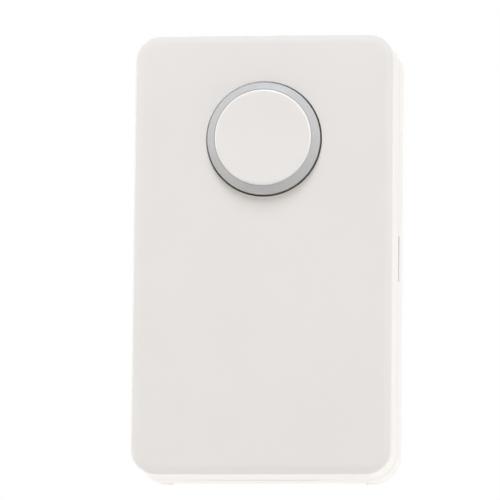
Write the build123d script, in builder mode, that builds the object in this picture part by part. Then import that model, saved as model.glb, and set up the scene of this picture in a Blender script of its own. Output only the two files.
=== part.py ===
"""Wall-mounted smart button: a slab case with a round push button, on a dovetail wall bracket.

Millimetres, +Z up, the front looks along -Y. The origin is the middle of the bracket's back face,
which lies on the wall. A standoff is a distance from the wall plane, measured along -Y.
"""
from build123d import *
import math
import os

os.makedirs("parts", exist_ok=True)

# Clearances and the overrun of every cut
slide_gap = 0.15      # dovetail flanks, and the cover's guides
fit_gap = 0.1         # parts that seat in each other
contact_gap = 0.05    # parts that press on each other in use
overrun = 2.0

# Case outline, measured at the front face; the sides open towards the wall
case_width = 45.0
case_height = 76.5
case_depth = 15.0
corner_radius = 4.6
side_draft_deg = 1.5
face_roll_width = 1.5     # the face falls away a little before its edge
face_roll_drop = 0.22
face_roll_radius = 4.0
face_edge_radius = 0.45
back_edge_radius = 0.7
shell_wall = 1.8
face_wall = 1.8
back_wall = 1.5
back_gap = 0.3

# Seam between the covers, with a slot to pry them apart and a shallow relief at the bottom
seam_standoff = 7.5
seam_gap = 0.2
tongue_wall = 0.8
tongue_height = 1.2
pry_slot_length = 8.1
pry_slot_height = 1.6
pry_slot_depth = 0.95
pry_slot_round = 0.4
relief_length = 19.0
relief_height = 0.3
relief_depth = 0.7

# Snap arms of the rear cover, two on each long side
snap_inset = 19.25       # from each end of the case
snap_width = 6.0
snap_thickness = 1.0
snap_root = 3.0
snap_reach = 3.4
snap_barb = 0.5
snap_barb_height = 1.0
snap_pocket_gap = 0.25

# Wall bracket and its dovetail
bracket_width = 36.0
bracket_thickness = 2.6
dovetail_flank_deg = 32.0
bracket_lead_in = 1.6
wall_screw_inset = 9.0
wall_screw_radius = 1.75
wall_screw_head_radius = 3.3
wall_screw_sink_deg = 90.0
latch_width = 6.0
latch_length = 8.0
latch_slot = 0.8
latch_pip_length = 3.0
latch_pip_width = 0.8
latch_pip_height = 0.12
latch_dimple_depth = 0.3
channel_face_gap = 0.2
channel_wall = 1.4
channel_rim = 2.0
channel_bridge = 5.55    # between the battery door's opening and the channel
channel_lead = 4.15      # from the case's low end to the bracket

# Push button
button_drop = 18.45      # below the top of the case
well_gap = 0.25
well_edge_round = 0.15
cap_radius = 8.35
ring_lip_width = 0.1
ring_slope_width = 0.65
ring_wall_width = 0.6
ring_foot_rise = 0.35
ring_shoulder_rise = 1.05
ring_lip_rise = 1.85
ring_seat_width = 1.35
flange_width = 1.75
flange_thickness = 1.0
cap_rise = 2.1
cap_plate = 1.3
cap_edge_round = 0.35
cap_dish_radius = 7.6
cap_dish_depth = 0.2
cap_skirt_wall = 0.95
cap_skirt_length = 3.4
cap_post_radius = 1.6
cap_rib_thickness = 0.8
cap_rib_height = 1.4
key_count = 3
key_width = 1.6
key_depth = 0.8
key_gap = 0.3
collar_gap = 0.3
collar_wall = 1.0
collar_height = 2.2

# Circuit board and the bosses it is screwed to
board_side_gap = 1.5
board_end_gap = 2.45
board_thickness = 1.0
board_corner_radius = 2.0
board_standoff = 7.6     # its rear face
boss_side_inset = 3.2
boss_end_inset = 3.5
boss_radius = 2.2
board_screw_radius = 0.8
board_screw_length = 4.2
board_screw_hole_radius = 1.0
board_screw_head_radius = 1.5
board_screw_head_height = 1.0
pilot_gap = 0.06
pilot_extra_depth = 0.3
recess_arm_width = 0.4
recess_depth = 0.45
face_rib_thickness = 0.9
face_rib_height = 1.2
face_rib_pitch = 10.0
face_rib_top_gap = 5.3    # below the button's collar
rest_post_radius = 1.5
rest_post_inset = 7.2
rest_post_drop = 2.5     # below the channel's top

# Tactile switch
switch_size = 6.0
switch_height = 3.5
switch_corner_cut = 0.5
switch_floor = 0.6
switch_roof = 0.9
switch_cavity_radius = 2.5
plunger_radius = 1.75
plunger_rise = 0.8
plunger_collar_radius = 2.3
plunger_collar_thickness = 0.5
plunger_collar_gap = 0.2
plunger_nub_radius = 0.6
plunger_nub_length = 0.4
dome_radius = 2.3
dome_height = 0.85
dome_wall = 0.12
terminal_width = 0.7
terminal_thickness = 0.2
terminal_spacing = 4.5
terminal_reach = 1.5
terminal_rise = 0.7
terminal_bend = 0.25

# Silicone collar that pushes the cap back
return_foot_wall = 0.75
return_foot_gap = 0.15    # round the switch's terminals
return_foot_height = 0.8
return_web = 0.5
return_head_wall = 0.8
return_head_inset = 0.25
return_head_height = 0.9

# Lamps and their reflector
reflector_wall = 0.24
reflector_side_gap = 0.8     # round the return collar
reflector_edge_round = 0.3
led_count = 4
led_length = 2.0
led_width = 1.6
led_height = 0.9
led_lens_radius = 0.6
led_lens_depth = 0.25
led_window_gap = 0.15
led_window_flare_deg = 16.0
peg_radius = 0.5
peg_length = 0.9

# Radio module with its can
module_width = 13.0
module_height = 17.0
module_thickness = 0.8
module_drop = 9.0        # below the middle of the case
shield_width = 11.4
shield_height = 12.4
shield_rise = 1.9
shield_sheet = 0.2
shield_corner_radius = 0.7
shield_offset = 1.6      # below the middle of the module
shield_vent_radius = 0.5
shield_vent_spacing = 3.0
pad_count = 7
pad_pitch = 2.0
pad_length = 0.9
pad_width = 1.1
pad_thickness = 0.15

# Stamped antenna at the low end of the board
antenna_length = 20.0
antenna_strip = 2.0
antenna_sheet = 0.3
antenna_rise = 3.2
antenna_leg_width = 1.2
antenna_leg_gap = 3.5
antenna_inset = 3.5      # from the low end of the board
antenna_foot = 1.2

# Small parts on the front of the board
crystal_radius = 1.0
crystal_length = 6.2
crystal_rim_radius = 1.15
crystal_rim_length = 0.4
crystal_lead_radius = 0.2
crystal_lead_length = 1.6
crystal_lead_spacing = 0.8
crystal_seat_gap = 0.05
left_group_inset = 6.7    # from the board's left edge
right_group_inset = 6.4   # from its right edge
crystal_drop = 7.0
tank_length = 7.0
tank_width = 4.2
tank_height = 2.7
tank_edge_cut = 0.4
tank_tab_width = 2.4
tank_tab_reach = 0.35
tank_tab_height = 1.3
tank_drop = 10.0
chip_length = 2.0
chip_width = 1.25
chip_end = 0.45
chip_end_skin = 0.05
capacitor_height = 0.9
capacitor_rows = 3
capacitor_columns = 2
capacitor_pitch_x = 3.2
capacitor_pitch_z = 2.6
capacitor_drop = 17.5
resistor_height = 0.5
resistor_rows = 3
resistor_columns = 2
resistor_pitch_x = 3.2
resistor_pitch_z = 2.2
resistor_drop = 18.5

# Coin cell, its holder and contacts, on the rear of the board
cell_drop = 19.75        # below the top of the case
cell_radius = 10.0
cell_thickness = 3.2
cell_cap_radius = 8.9
cell_cap_height = 0.7
cell_edge_round = 0.4
holder_wall = 1.35
holder_cell_gap = 0.25
holder_floor = 0.7
holder_height = 4.0
holder_grip_width = 7.0
holder_peg_inset = 2.75
contact_sheet = 0.2
contact_bend = 0.5
negative_width = 4.0
negative_lift = 0.7
negative_arch_start = 7.5
negative_arch_end = 3.0
negative_foot_end = 14.0
positive_width = 4.0
positive_foot_end = 14.2
positive_riser_gap = 0.5
positive_top_gap = 0.4
positive_tail = 2.4
positive_lean = 0.45
contact_slot_gap = 0.5

# Battery door
door_width = 30.0
door_height = 33.5
door_corner_radius = 2.5
door_thickness = 1.4
door_gap = 0.2
door_edge_cut = 0.25
door_grip_width = 7.0
door_grip_depth = 0.9
door_rib_radius = 9.2
door_rib_wall = 0.8
door_rib_height = 0.8
bay_width = 25.0
bay_height = 24.0
bay_corner_radius = 3.0
ledge_wall = 1.2
ledge_rim = 1.5
door_screw_inset = 2.35
door_screw_radius = 0.9
door_screw_length = 4.6
door_screw_head_radius = 1.9
door_screw_head_depth = 1.0
door_screw_sunk = 0.05
pillar_radius = 2.15
pillar_height = 2.5
pad_size = 9.0
pad_corner_radius = 1.0

# Sizes and places that follow from the sizes above
button_rise = case_height / 2 - button_drop
cell_rise = case_height / 2 - cell_drop
channel_top_drop = door_height / 2 + door_gap + channel_bridge - cell_rise
bracket_height = case_height / 2 - channel_top_drop - channel_lead - fit_gap
case_centre_z = bracket_height / 2 + fit_gap + channel_top_drop
button_z = case_centre_z + button_rise
cell_z = case_centre_z + cell_rise
face_inside = case_depth - face_wall
back_inside = back_gap + back_wall
board_front = board_standoff + board_thickness
channel_floor = bracket_thickness + channel_face_gap
dovetail_slope = math.tan(math.radians(dovetail_flank_deg))
wall_screw_span = bracket_width - 2 * wall_screw_inset
board_width = case_width - 2 * shell_wall - 2 * board_side_gap
board_height = case_height - 2 * shell_wall - 2 * board_end_gap
left_group_x = left_group_inset - board_width / 2
right_group_x = board_width / 2 - right_group_inset
boss_span_x = board_width - 2 * boss_side_inset
boss_span_z = board_height - 2 * boss_end_inset
rest_post_span = board_width - 2 * rest_post_inset
snap_span = case_height - 2 * snap_inset
antenna_drop = board_height / 2 - antenna_inset
door_screw_span = door_height - 2 * door_screw_inset
ring_lip_radius = cap_radius + contact_gap + ring_lip_width
ring_shoulder_radius = ring_lip_radius + ring_slope_width
ring_radius = ring_shoulder_radius + ring_wall_width
ring_bore_radius = cap_radius - ring_seat_width
flange_radius = ring_radius + flange_width
well_radius = ring_radius + well_gap
flange_front = face_inside - fit_gap
flange_rear = flange_front - flange_thickness
cap_front = case_depth + cap_rise
cap_seat = cap_front - cap_plate
skirt_end = cap_seat - cap_skirt_length
plunger_tip = board_front + switch_height + plunger_rise
collar_inner = flange_radius + collar_gap
collar_outer = collar_inner + collar_wall
collar_end = face_inside - collar_height
terminal_corner = math.hypot(
    switch_size / 2 + terminal_reach, (terminal_spacing + terminal_width) / 2
)
return_foot_inner = terminal_corner + return_foot_gap
return_foot_outer = return_foot_inner + return_foot_wall
reflector_height = collar_end - fit_gap - board_front
led_window_flare = reflector_height * math.tan(math.radians(led_window_flare_deg))
reflector_half = led_width / 2 + led_window_gap + led_window_flare + reflector_wall
reflector_inner = return_foot_outer + reflector_side_gap
reflector_outer = reflector_inner + 2 * reflector_half
led_circle_radius = reflector_inner + reflector_half
door_inside = back_inside - fit_gap
door_outside = door_inside - door_thickness
holder_top = board_standoff - holder_height
floor_level = board_standoff - holder_floor
cell_front = floor_level - negative_lift - contact_gap
cell_back = cell_front - cell_thickness
cup_radius = cell_radius + holder_cell_gap
holder_peg_span = 2 * (cup_radius - holder_peg_inset)
seam_spread = (case_depth - seam_standoff) * math.tan(math.radians(side_draft_deg))
wall_inside_x = case_width / 2 + seam_spread - shell_wall

# Planes whose local y is up and whose normal is the standoff
bracket_plane = Plane(origin=(0, 0, 0), x_dir=(1, 0, 0), z_dir=(0, -1, 0))
case_plane = Plane(origin=(0, 0, case_centre_z), x_dir=(1, 0, 0), z_dir=(0, -1, 0))
button_plane = Plane(origin=(0, 0, button_z), x_dir=(1, 0, 0), z_dir=(0, -1, 0))
cell_plane = Plane(origin=(0, 0, cell_z), x_dir=(1, 0, 0), z_dir=(0, -1, 0))
module_plane = Plane(origin=(0, 0, case_centre_z - module_drop), x_dir=(1, 0, 0), z_dir=(0, -1, 0))

# Level planes whose local x is across and whose local y is the standoff, seen from below
button_level = Plane(origin=(0, 0, button_z), x_dir=(1, 0, 0), z_dir=(0, 0, -1))
cell_level = Plane(origin=(0, 0, cell_z), x_dir=(1, 0, 0), z_dir=(0, 0, -1))
case_level = Plane(origin=(0, 0, case_centre_z), x_dir=(1, 0, 0), z_dir=(0, 0, -1))
button_axis = Axis((0, 0, button_z), (0, -1, 0))
cell_axis = Axis((0, 0, cell_z), (0, -1, 0))


def spread(standoff):
    """How far the drafted side stands outside the front outline at a standoff."""
    return (case_depth - standoff) * math.tan(math.radians(side_draft_deg))


def case_outline(extra):
    """Rounded outline of the case, grown by extra on every side."""
    RectangleRounded(case_width + 2 * extra, case_height + 2 * extra, corner_radius + extra)


def dish_sag(radius, rim_radius, rim_depth):
    """Height above the bottom of a spherical dish at a radius."""
    sphere = (rim_radius**2 + rim_depth**2) / (2 * rim_depth)
    return sphere - math.sqrt(sphere**2 - radius**2)


# Wall bracket: a dovetail plate with two countersunk holes and a springy latch at its low end
bracket_back_half = bracket_width / 2 - bracket_thickness * dovetail_slope
latch_root_z = latch_length - bracket_height / 2
with BuildPart() as wall_bracket:
    with BuildSketch(Plane(origin=(0, 0, bracket_height / 2), x_dir=(1, 0, 0), z_dir=(0, 0, -1))):
        with BuildLine():
            Polyline(
                (-bracket_back_half, 0),
                (bracket_back_half, 0),
                (bracket_width / 2, bracket_thickness),
                (-bracket_width / 2, bracket_thickness),
                close=True,
            )
        make_face()
    extrude(amount=bracket_height)
    top_corners = wall_bracket.faces().sort_by(Axis.Z)[-1].edges().filter_by(Axis.X, reverse=True)
    chamfer(top_corners, bracket_lead_in)
    with Locations(bracket_plane.offset(bracket_thickness)):
        with GridLocations(wall_screw_span, 0, 2, 1):
            CounterSinkHole(
                wall_screw_radius, wall_screw_head_radius, bracket_thickness, wall_screw_sink_deg
            )
    with BuildSketch(bracket_plane):
        with Locations((0, -bracket_height / 2)):
            Rectangle(latch_width + 2 * latch_slot, 2 * latch_length)
            Rectangle(latch_width, 2 * latch_length, mode=Mode.SUBTRACT)
    extrude(amount=bracket_thickness, mode=Mode.SUBTRACT)
    with BuildSketch(bracket_plane.offset(bracket_thickness)):
        with Locations((0, latch_root_z - latch_length / 2)):
            Rectangle(latch_pip_length, latch_pip_width)
    extrude(amount=latch_pip_height)
wall_bracket.part.label = "wall_bracket"
export_step(wall_bracket.part, "parts/wall_bracket.step")

# Front cover: drafted shell with rounded face edges, the button's well and the board's bosses
front_edge = seam_standoff + seam_gap
arm_inner_x = wall_inside_x - slide_gap - snap_thickness
arm_end = seam_standoff + snap_reach
pocket_outer_x = wall_inside_x - slide_gap + snap_barb + snap_pocket_gap
face_rib_low = shell_wall / 2 - case_height / 2
face_rib_high = button_rise - collar_outer - face_rib_top_gap
with BuildPart() as front_cover:
    with BuildSketch(case_plane.offset(front_edge)):
        case_outline(spread(front_edge))
    extrude(amount=case_depth - face_roll_drop - front_edge, taper=side_draft_deg)
    with BuildSketch(case_plane.offset(case_depth - face_roll_drop)):
        case_outline(spread(case_depth - face_roll_drop))
    with BuildSketch(case_plane.offset(case_depth)):
        case_outline(-face_roll_width)
    loft(ruled=True)
    roll_loops = front_cover.edges().group_by(Axis.Y)
    fillet(roll_loops[0], face_roll_radius)
    outer_loop = front_cover.edges().filter_by_position(
        Axis.Y, -case_depth + face_roll_drop - contact_gap, -case_depth + face_roll_drop + contact_gap
    )
    fillet(outer_loop, face_edge_radius)
    with BuildSketch(case_plane.offset(front_edge)):
        case_outline(spread(front_edge) - shell_wall)
    extrude(amount=face_inside - front_edge, taper=side_draft_deg, mode=Mode.SUBTRACT)
    with BuildSketch(case_plane.offset(front_edge)):
        case_outline(spread(front_edge) - shell_wall + tongue_wall + fit_gap)
    extrude(amount=tongue_height + fit_gap - seam_gap, mode=Mode.SUBTRACT)
    with BuildSketch(button_plane.offset(collar_end)):
        Circle(collar_outer)
        Circle(collar_inner, mode=Mode.SUBTRACT)
    extrude(amount=collar_height)
    with BuildSketch(button_plane.offset(collar_end)):
        with PolarLocations(collar_inner - key_depth / 2, key_count, start_angle=90):
            Rectangle(key_depth + fit_gap, key_width)
    extrude(amount=collar_height)
    with BuildSketch(button_plane.offset(face_inside)):
        Circle(well_radius)
    extrude(amount=face_wall, mode=Mode.SUBTRACT)
    well_rim = front_cover.edges().filter_by(GeomType.CIRCLE).sort_by_distance(
        (well_radius, -case_depth, button_z)
    )[0]
    fillet(well_rim, well_edge_round)
    with BuildSketch(case_plane.offset(board_front)):
        with GridLocations(boss_span_x, boss_span_z, 2, 2):
            Circle(boss_radius)
    extrude(amount=face_inside - board_front)
    with BuildSketch(case_plane.offset(board_front)):
        with GridLocations(boss_span_x, boss_span_z, 2, 2):
            Circle(board_screw_radius + pilot_gap)
    extrude(
        amount=board_screw_length - board_thickness + pilot_extra_depth, mode=Mode.SUBTRACT
    )
    with BuildSketch(case_plane.offset(face_inside - face_rib_height)):
        with Locations((0, (face_rib_low + face_rib_high) / 2)):
            with GridLocations(face_rib_pitch, 0, 3, 1):
                Rectangle(face_rib_thickness, face_rib_high - face_rib_low)
    extrude(amount=face_rib_height)
    with BuildSketch(case_plane.offset(arm_end - snap_barb_height - snap_pocket_gap)):
        for side in (-1, 1):
            with Locations((side * (pocket_outer_x + arm_inner_x) / 2, 0)):
                with GridLocations(0, snap_span, 1, 2):
                    Rectangle(pocket_outer_x - arm_inner_x, snap_width + 2 * snap_pocket_gap)
    extrude(amount=snap_barb_height + 2 * snap_pocket_gap, mode=Mode.SUBTRACT)
front_cover.part.label = "front_cover"
export_step(front_cover.part, "parts/front_cover.step")

# Rear cover: drafted shell with the dovetail channel, the battery bay, its ledge and snap arms
channel_top_z = bracket_height / 2 + fit_gap
channel_floor_half = bracket_width / 2 + slide_gap
channel_mouth_half = channel_floor_half - channel_floor * dovetail_slope
case_bottom_z = case_centre_z - case_height / 2 - spread(0)
platform_low = -case_height / 2 - spread(back_inside) + shell_wall / 2
platform_high = channel_rim - channel_top_drop
pry_slot_plane = Plane(
    origin=(case_width / 2 + seam_spread + overrun, -seam_standoff, case_centre_z),
    x_dir=(0, 0, 1),
    z_dir=(-1, 0, 0),
)
with BuildPart() as rear_cover:
    with BuildSketch(case_plane.offset(back_gap)):
        case_outline(spread(back_gap))
    extrude(amount=seam_standoff - back_gap, taper=side_draft_deg)
    fillet(rear_cover.faces().sort_by(Axis.Y)[-1].edges(), back_edge_radius)
    with BuildSketch(case_plane.offset(back_inside)):
        case_outline(spread(back_inside) - shell_wall)
    extrude(amount=seam_standoff - back_inside, taper=side_draft_deg, mode=Mode.SUBTRACT)
    with BuildSketch(case_plane.offset(seam_standoff)):
        case_outline(seam_spread - shell_wall + tongue_wall)
        RectangleRounded(
            case_width + 2 * (seam_spread - shell_wall),
            case_height + 2 * (seam_spread - shell_wall),
            corner_radius + seam_spread - shell_wall,
            mode=Mode.SUBTRACT,
        )
    extrude(amount=tongue_height)
    with BuildSketch(case_plane.offset(back_inside)):
        with Locations((0, (platform_low + platform_high) / 2)):
            Rectangle(bracket_width + 2 * channel_rim, platform_high - platform_low)
    extrude(amount=channel_floor + channel_wall - back_inside)
    with BuildSketch(Plane(origin=(0, 0, channel_top_z), x_dir=(1, 0, 0), z_dir=(0, 0, -1))):
        with BuildLine():
            Polyline(
                (-channel_mouth_half, 0),
                (channel_mouth_half, 0),
                (channel_floor_half, channel_floor),
                (-channel_floor_half, channel_floor),
                close=True,
            )
        make_face()
    extrude(amount=channel_top_z - case_bottom_z + overrun, mode=Mode.SUBTRACT)
    with BuildSketch(bracket_plane.offset(channel_floor)):
        with Locations((0, latch_root_z - latch_length / 2)):
            Rectangle(latch_pip_length + 2 * slide_gap, latch_pip_width + 2 * slide_gap)
    extrude(amount=latch_dimple_depth, mode=Mode.SUBTRACT)
    with BuildSketch(cell_plane.offset(back_inside)):
        RectangleRounded(
            door_width + 2 * (door_gap + ledge_rim),
            door_height + 2 * (door_gap + ledge_rim),
            door_corner_radius + door_gap + ledge_rim,
        )
    extrude(amount=ledge_wall)
    with BuildSketch(cell_plane.offset(back_inside + ledge_wall)):
        with GridLocations(0, door_screw_span, 1, 2):
            Circle(pillar_radius)
    extrude(amount=pillar_height)
    with BuildSketch(cell_plane):
        RectangleRounded(
            door_width + 2 * door_gap, door_height + 2 * door_gap, door_corner_radius + door_gap
        )
    extrude(amount=back_inside, mode=Mode.SUBTRACT)
    with BuildSketch(cell_plane):
        RectangleRounded(bay_width, bay_height, bay_corner_radius)
    extrude(amount=back_inside + ledge_wall, mode=Mode.SUBTRACT)
    with BuildSketch(cell_plane):
        with GridLocations(0, door_screw_span, 1, 2):
            Circle(door_screw_radius + fit_gap)
    extrude(amount=door_outside + door_screw_length + pilot_extra_depth, mode=Mode.SUBTRACT)
    with BuildSketch(case_plane.offset(channel_floor + channel_wall)):
        with Locations((0, -channel_top_drop - rest_post_drop)):
            with GridLocations(rest_post_span, 0, 2, 1):
                Circle(rest_post_radius)
    extrude(amount=board_standoff - fit_gap - channel_floor - channel_wall)
    with BuildSketch(case_level.offset(-snap_width / 2)):
        with BuildLine():
            Polyline(
                (arm_inner_x, seam_standoff - snap_root),
                (wall_inside_x + fit_gap, seam_standoff - snap_root),
                (wall_inside_x + fit_gap, seam_standoff),
                (wall_inside_x - slide_gap, seam_standoff),
                (wall_inside_x - slide_gap, arm_end - snap_barb_height),
                (wall_inside_x - slide_gap + snap_barb, arm_end - snap_barb_height),
                (wall_inside_x - slide_gap, arm_end),
                (arm_inner_x, arm_end),
                close=True,
            )
        make_face()
    snap_arm = extrude(amount=snap_width, mode=Mode.PRIVATE)
    for rise in (-snap_span / 2, snap_span / 2):
        arm = snap_arm.moved(Location((0, 0, rise)))
        add(arm)
        add(mirror(arm, about=Plane.YZ, mode=Mode.PRIVATE))
    with BuildSketch(pry_slot_plane):
        RectangleRounded(pry_slot_length, 2 * pry_slot_height, pry_slot_round)
    extrude(amount=overrun + pry_slot_depth, mode=Mode.SUBTRACT)
    with BuildSketch(case_plane.offset(seam_standoff - relief_height)):
        with Locations((0, -case_height / 2 - seam_spread)):
            Rectangle(relief_length, 2 * relief_depth)
    extrude(amount=relief_height, mode=Mode.SUBTRACT)
rear_cover.part.label = "rear_cover"
export_step(rear_cover.part, "parts/rear_cover.step")

# Light ring: frosted ring with a sloping front, and the flange that keeps the button in its well
with BuildPart() as light_ring:
    with BuildSketch(button_level):
        with BuildLine():
            Polyline(
                (ring_bore_radius, flange_rear),
                (flange_radius, flange_rear),
                (flange_radius, flange_front),
                (ring_radius, flange_front),
                (ring_radius, case_depth + ring_foot_rise),
                (ring_shoulder_radius, case_depth + ring_shoulder_rise),
                (ring_lip_radius, case_depth + ring_lip_rise),
                (cap_radius + contact_gap, case_depth + ring_lip_rise),
                (cap_radius + contact_gap, cap_seat),
                (ring_bore_radius, cap_seat),
                close=True,
            )
        make_face()
    revolve(axis=button_axis)
    with BuildSketch(button_plane.offset(flange_rear)):
        with PolarLocations(flange_radius, key_count, start_angle=90):
            Rectangle(2 * (key_depth + key_gap), key_width + 2 * key_gap)
    extrude(amount=flange_thickness + fit_gap, mode=Mode.SUBTRACT)
light_ring.part.label = "light_ring"
export_step(light_ring.part, "parts/light_ring.step")

# Button cap: dished disc with a skirt inside the ring, a post for the switch and webs between
skirt_outer = ring_bore_radius - contact_gap
skirt_inner = skirt_outer - cap_skirt_wall
dish_bottom = cap_front - cap_dish_depth
dish_middle = cap_dish_radius / 2
dish_middle_rise = dish_sag(dish_middle, cap_dish_radius, cap_dish_depth)
with BuildPart() as button_cap:
    with BuildSketch(button_level) as cap_section:
        with BuildLine():
            ThreePointArc(
                (0, dish_bottom),
                (dish_middle, dish_bottom + dish_middle_rise),
                (cap_dish_radius, cap_front),
            )
            Polyline(
                (cap_dish_radius, cap_front),
                (cap_radius, cap_front),
                (cap_radius, cap_seat),
                (skirt_outer, cap_seat),
                (skirt_outer, skirt_end),
                (skirt_inner, skirt_end),
                (skirt_inner, cap_seat),
                (cap_post_radius, cap_seat),
                (cap_post_radius, plunger_tip + contact_gap),
                (0, plunger_tip + contact_gap),
                (0, dish_bottom),
            )
        make_face()
        cap_corner = cap_section.vertices().sort_by_distance((cap_radius, cap_front))[0]
        fillet(cap_corner, cap_edge_round)
    revolve(axis=button_axis)
    with BuildSketch(button_plane.offset(cap_seat - cap_rib_height)):
        Rectangle(2 * skirt_inner + contact_gap, cap_rib_thickness)
        Rectangle(cap_rib_thickness, 2 * skirt_inner + contact_gap)
    extrude(amount=cap_rib_height)
button_cap.part.label = "button_cap"
export_step(button_cap.part, "parts/button_cap.step")

# Switch base: square housing, hollow for the dome, bored for the plunger
switch_top = board_front + switch_height
cavity_floor = board_front + switch_floor
cavity_roof = switch_top - switch_roof
with BuildPart() as switch_base:
    with BuildSketch(button_plane.offset(board_front)) as base_outline:
        Rectangle(switch_size, switch_size)
        chamfer(base_outline.vertices(), switch_corner_cut)
    extrude(amount=switch_height)
    with BuildSketch(button_plane.offset(cavity_floor)):
        Circle(switch_cavity_radius)
    extrude(amount=cavity_roof - cavity_floor, mode=Mode.SUBTRACT)
    with BuildSketch(button_plane.offset(cavity_roof)):
        Circle(plunger_radius + fit_gap)
    extrude(amount=switch_roof, mode=Mode.SUBTRACT)
switch_base.part.label = "switch_base"
export_step(switch_base.part, "parts/switch_base.step")

# Switch plunger: stem with a stop collar under the roof and a nub over the dome
plunger_stop = cavity_roof - plunger_collar_gap
plunger_foot = plunger_stop - plunger_collar_thickness
with BuildPart() as switch_plunger:
    with BuildSketch(button_level):
        with BuildLine():
            Polyline(
                (0, plunger_foot - plunger_nub_length),
                (plunger_nub_radius, plunger_foot - plunger_nub_length),
                (plunger_nub_radius, plunger_foot),
                (plunger_collar_radius, plunger_foot),
                (plunger_collar_radius, plunger_stop),
                (plunger_radius, plunger_stop),
                (plunger_radius, plunger_tip),
                (0, plunger_tip),
                close=True,
            )
        make_face()
    revolve(axis=button_axis)
switch_plunger.part.label = "switch_plunger"
export_step(switch_plunger.part, "parts/switch_plunger.step")

# Snap dome: thin sprung shell on the cavity floor
dome_middle = dome_radius / 2
dome_outer_drop = dish_sag(dome_middle, dome_radius, dome_height)
dome_inner_radius = dome_radius - dome_wall
dome_inner_height = dome_height - dome_wall
dome_inner_drop = dish_sag(dome_middle, dome_inner_radius, dome_inner_height)
with BuildPart() as switch_dome:
    with BuildSketch(button_level):
        with BuildLine():
            ThreePointArc(
                (0, cavity_floor + dome_height),
                (dome_middle, cavity_floor + dome_height - dome_outer_drop),
                (dome_radius, cavity_floor),
            )
            Line((dome_radius, cavity_floor), (dome_inner_radius, cavity_floor))
            ThreePointArc(
                (dome_inner_radius, cavity_floor),
                (dome_middle, cavity_floor + dome_inner_height - dome_inner_drop),
                (0, cavity_floor + dome_inner_height),
            )
            Line((0, cavity_floor + dome_inner_height), (0, cavity_floor + dome_height))
        make_face()
    revolve(axis=button_axis)
switch_dome.part.label = "switch_dome"
export_step(switch_dome.part, "parts/switch_dome.step")

# Switch terminals: four bent leads that stand on the board
lead_root = board_front + terminal_rise
lead_end_x = switch_size / 2 + terminal_reach
lead_foot_x = switch_size / 2 + terminal_reach / 2
with BuildPart() as switch_terminals:
    for side in (-1, 1):
        for rise in (-terminal_spacing / 2, terminal_spacing / 2):
            with BuildSketch(button_level.offset(-rise - terminal_width / 2)):
                with BuildLine():
                    FilletPolyline(
                        (side * switch_size / 2, lead_root),
                        (side * lead_foot_x, lead_root),
                        (side * lead_foot_x, board_front + terminal_thickness / 2),
                        (side * lead_end_x, board_front + terminal_thickness / 2),
                        radius=terminal_bend,
                    )
                trace(line_width=terminal_thickness)
            extrude(amount=terminal_width)
switch_terminals.part.label = "switch_terminals"
export_step(switch_terminals.part, "parts/switch_terminals.step")

# Return collar: silicone foot, sloping web and head under the cap's skirt
head_front = skirt_end - fit_gap
head_rear = head_front - return_head_height
foot_front = board_front + return_foot_height
web_bend = board_front + reflector_height
return_head_outer = skirt_outer - return_head_inset
return_head_inner = return_head_outer - return_head_wall
with BuildPart() as return_collar:
    with BuildSketch(button_level):
        with BuildLine():
            Polyline(
                (return_foot_inner, board_front),
                (return_foot_outer, board_front),
                (return_foot_outer, web_bend),
                (return_head_outer, head_rear),
                (return_head_outer, head_front),
                (return_head_inner, head_front),
                (return_head_inner, head_rear),
                (return_foot_outer - return_web, web_bend),
                (return_foot_outer - return_web, foot_front),
                (return_foot_inner, foot_front),
                close=True,
            )
        make_face()
    revolve(axis=button_axis)
return_collar.part.label = "return_collar"
export_step(return_collar.part, "parts/return_collar.step")

# Reflector: ring with a flared window over each lamp and two pegs in the board
with BuildPart() as led_reflector:
    with BuildSketch(button_plane.offset(board_front)):
        Circle(reflector_outer)
        Circle(reflector_inner, mode=Mode.SUBTRACT)
    extrude(amount=reflector_height)
    fillet(
        led_reflector.edges().filter_by(GeomType.CIRCLE).group_by(Axis.Y)[0], reflector_edge_round
    )
    with BuildSketch(button_plane.offset(board_front)):
        with PolarLocations(led_circle_radius, led_count, start_angle=180 / led_count):
            Rectangle(led_width + 2 * led_window_gap, led_length + 2 * led_window_gap)
    extrude(amount=reflector_height, taper=-led_window_flare_deg, mode=Mode.SUBTRACT)
    with BuildSketch(button_plane.offset(board_front - peg_length)):
        with PolarLocations(led_circle_radius, 2):
            Circle(peg_radius)
    extrude(amount=peg_length)
led_reflector.part.label = "led_reflector"
export_step(led_reflector.part, "parts/led_reflector.step")

# Lamps: four chip packages in a circle, each with a round lens well
with BuildPart() as status_leds:
    with BuildSketch(button_plane.offset(board_front)):
        with PolarLocations(led_circle_radius, led_count, start_angle=180 / led_count):
            Rectangle(led_width, led_length)
    extrude(amount=led_height)
    with BuildSketch(button_plane.offset(board_front + led_height - led_lens_depth)):
        with PolarLocations(led_circle_radius, led_count, start_angle=180 / led_count):
            Circle(led_lens_radius)
    extrude(amount=led_lens_depth, mode=Mode.SUBTRACT)
status_leds.part.label = "status_leds"
export_step(status_leds.part, "parts/status_leds.step")

# Circuit board: rounded plate with screw holes and peg holes
with BuildPart() as circuit_board:
    with BuildSketch(case_plane.offset(board_standoff)):
        RectangleRounded(board_width, board_height, board_corner_radius)
        with GridLocations(boss_span_x, boss_span_z, 2, 2):
            Circle(board_screw_hole_radius, mode=Mode.SUBTRACT)
        with Locations((0, button_rise)):
            with PolarLocations(led_circle_radius, 2):
                Circle(peg_radius + contact_gap, mode=Mode.SUBTRACT)
        with Locations((0, cell_rise)):
            with GridLocations(0, holder_peg_span, 1, 2):
                Circle(peg_radius + contact_gap, mode=Mode.SUBTRACT)
    extrude(amount=board_thickness)
circuit_board.part.label = "circuit_board"
export_step(circuit_board.part, "parts/circuit_board.step")

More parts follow.
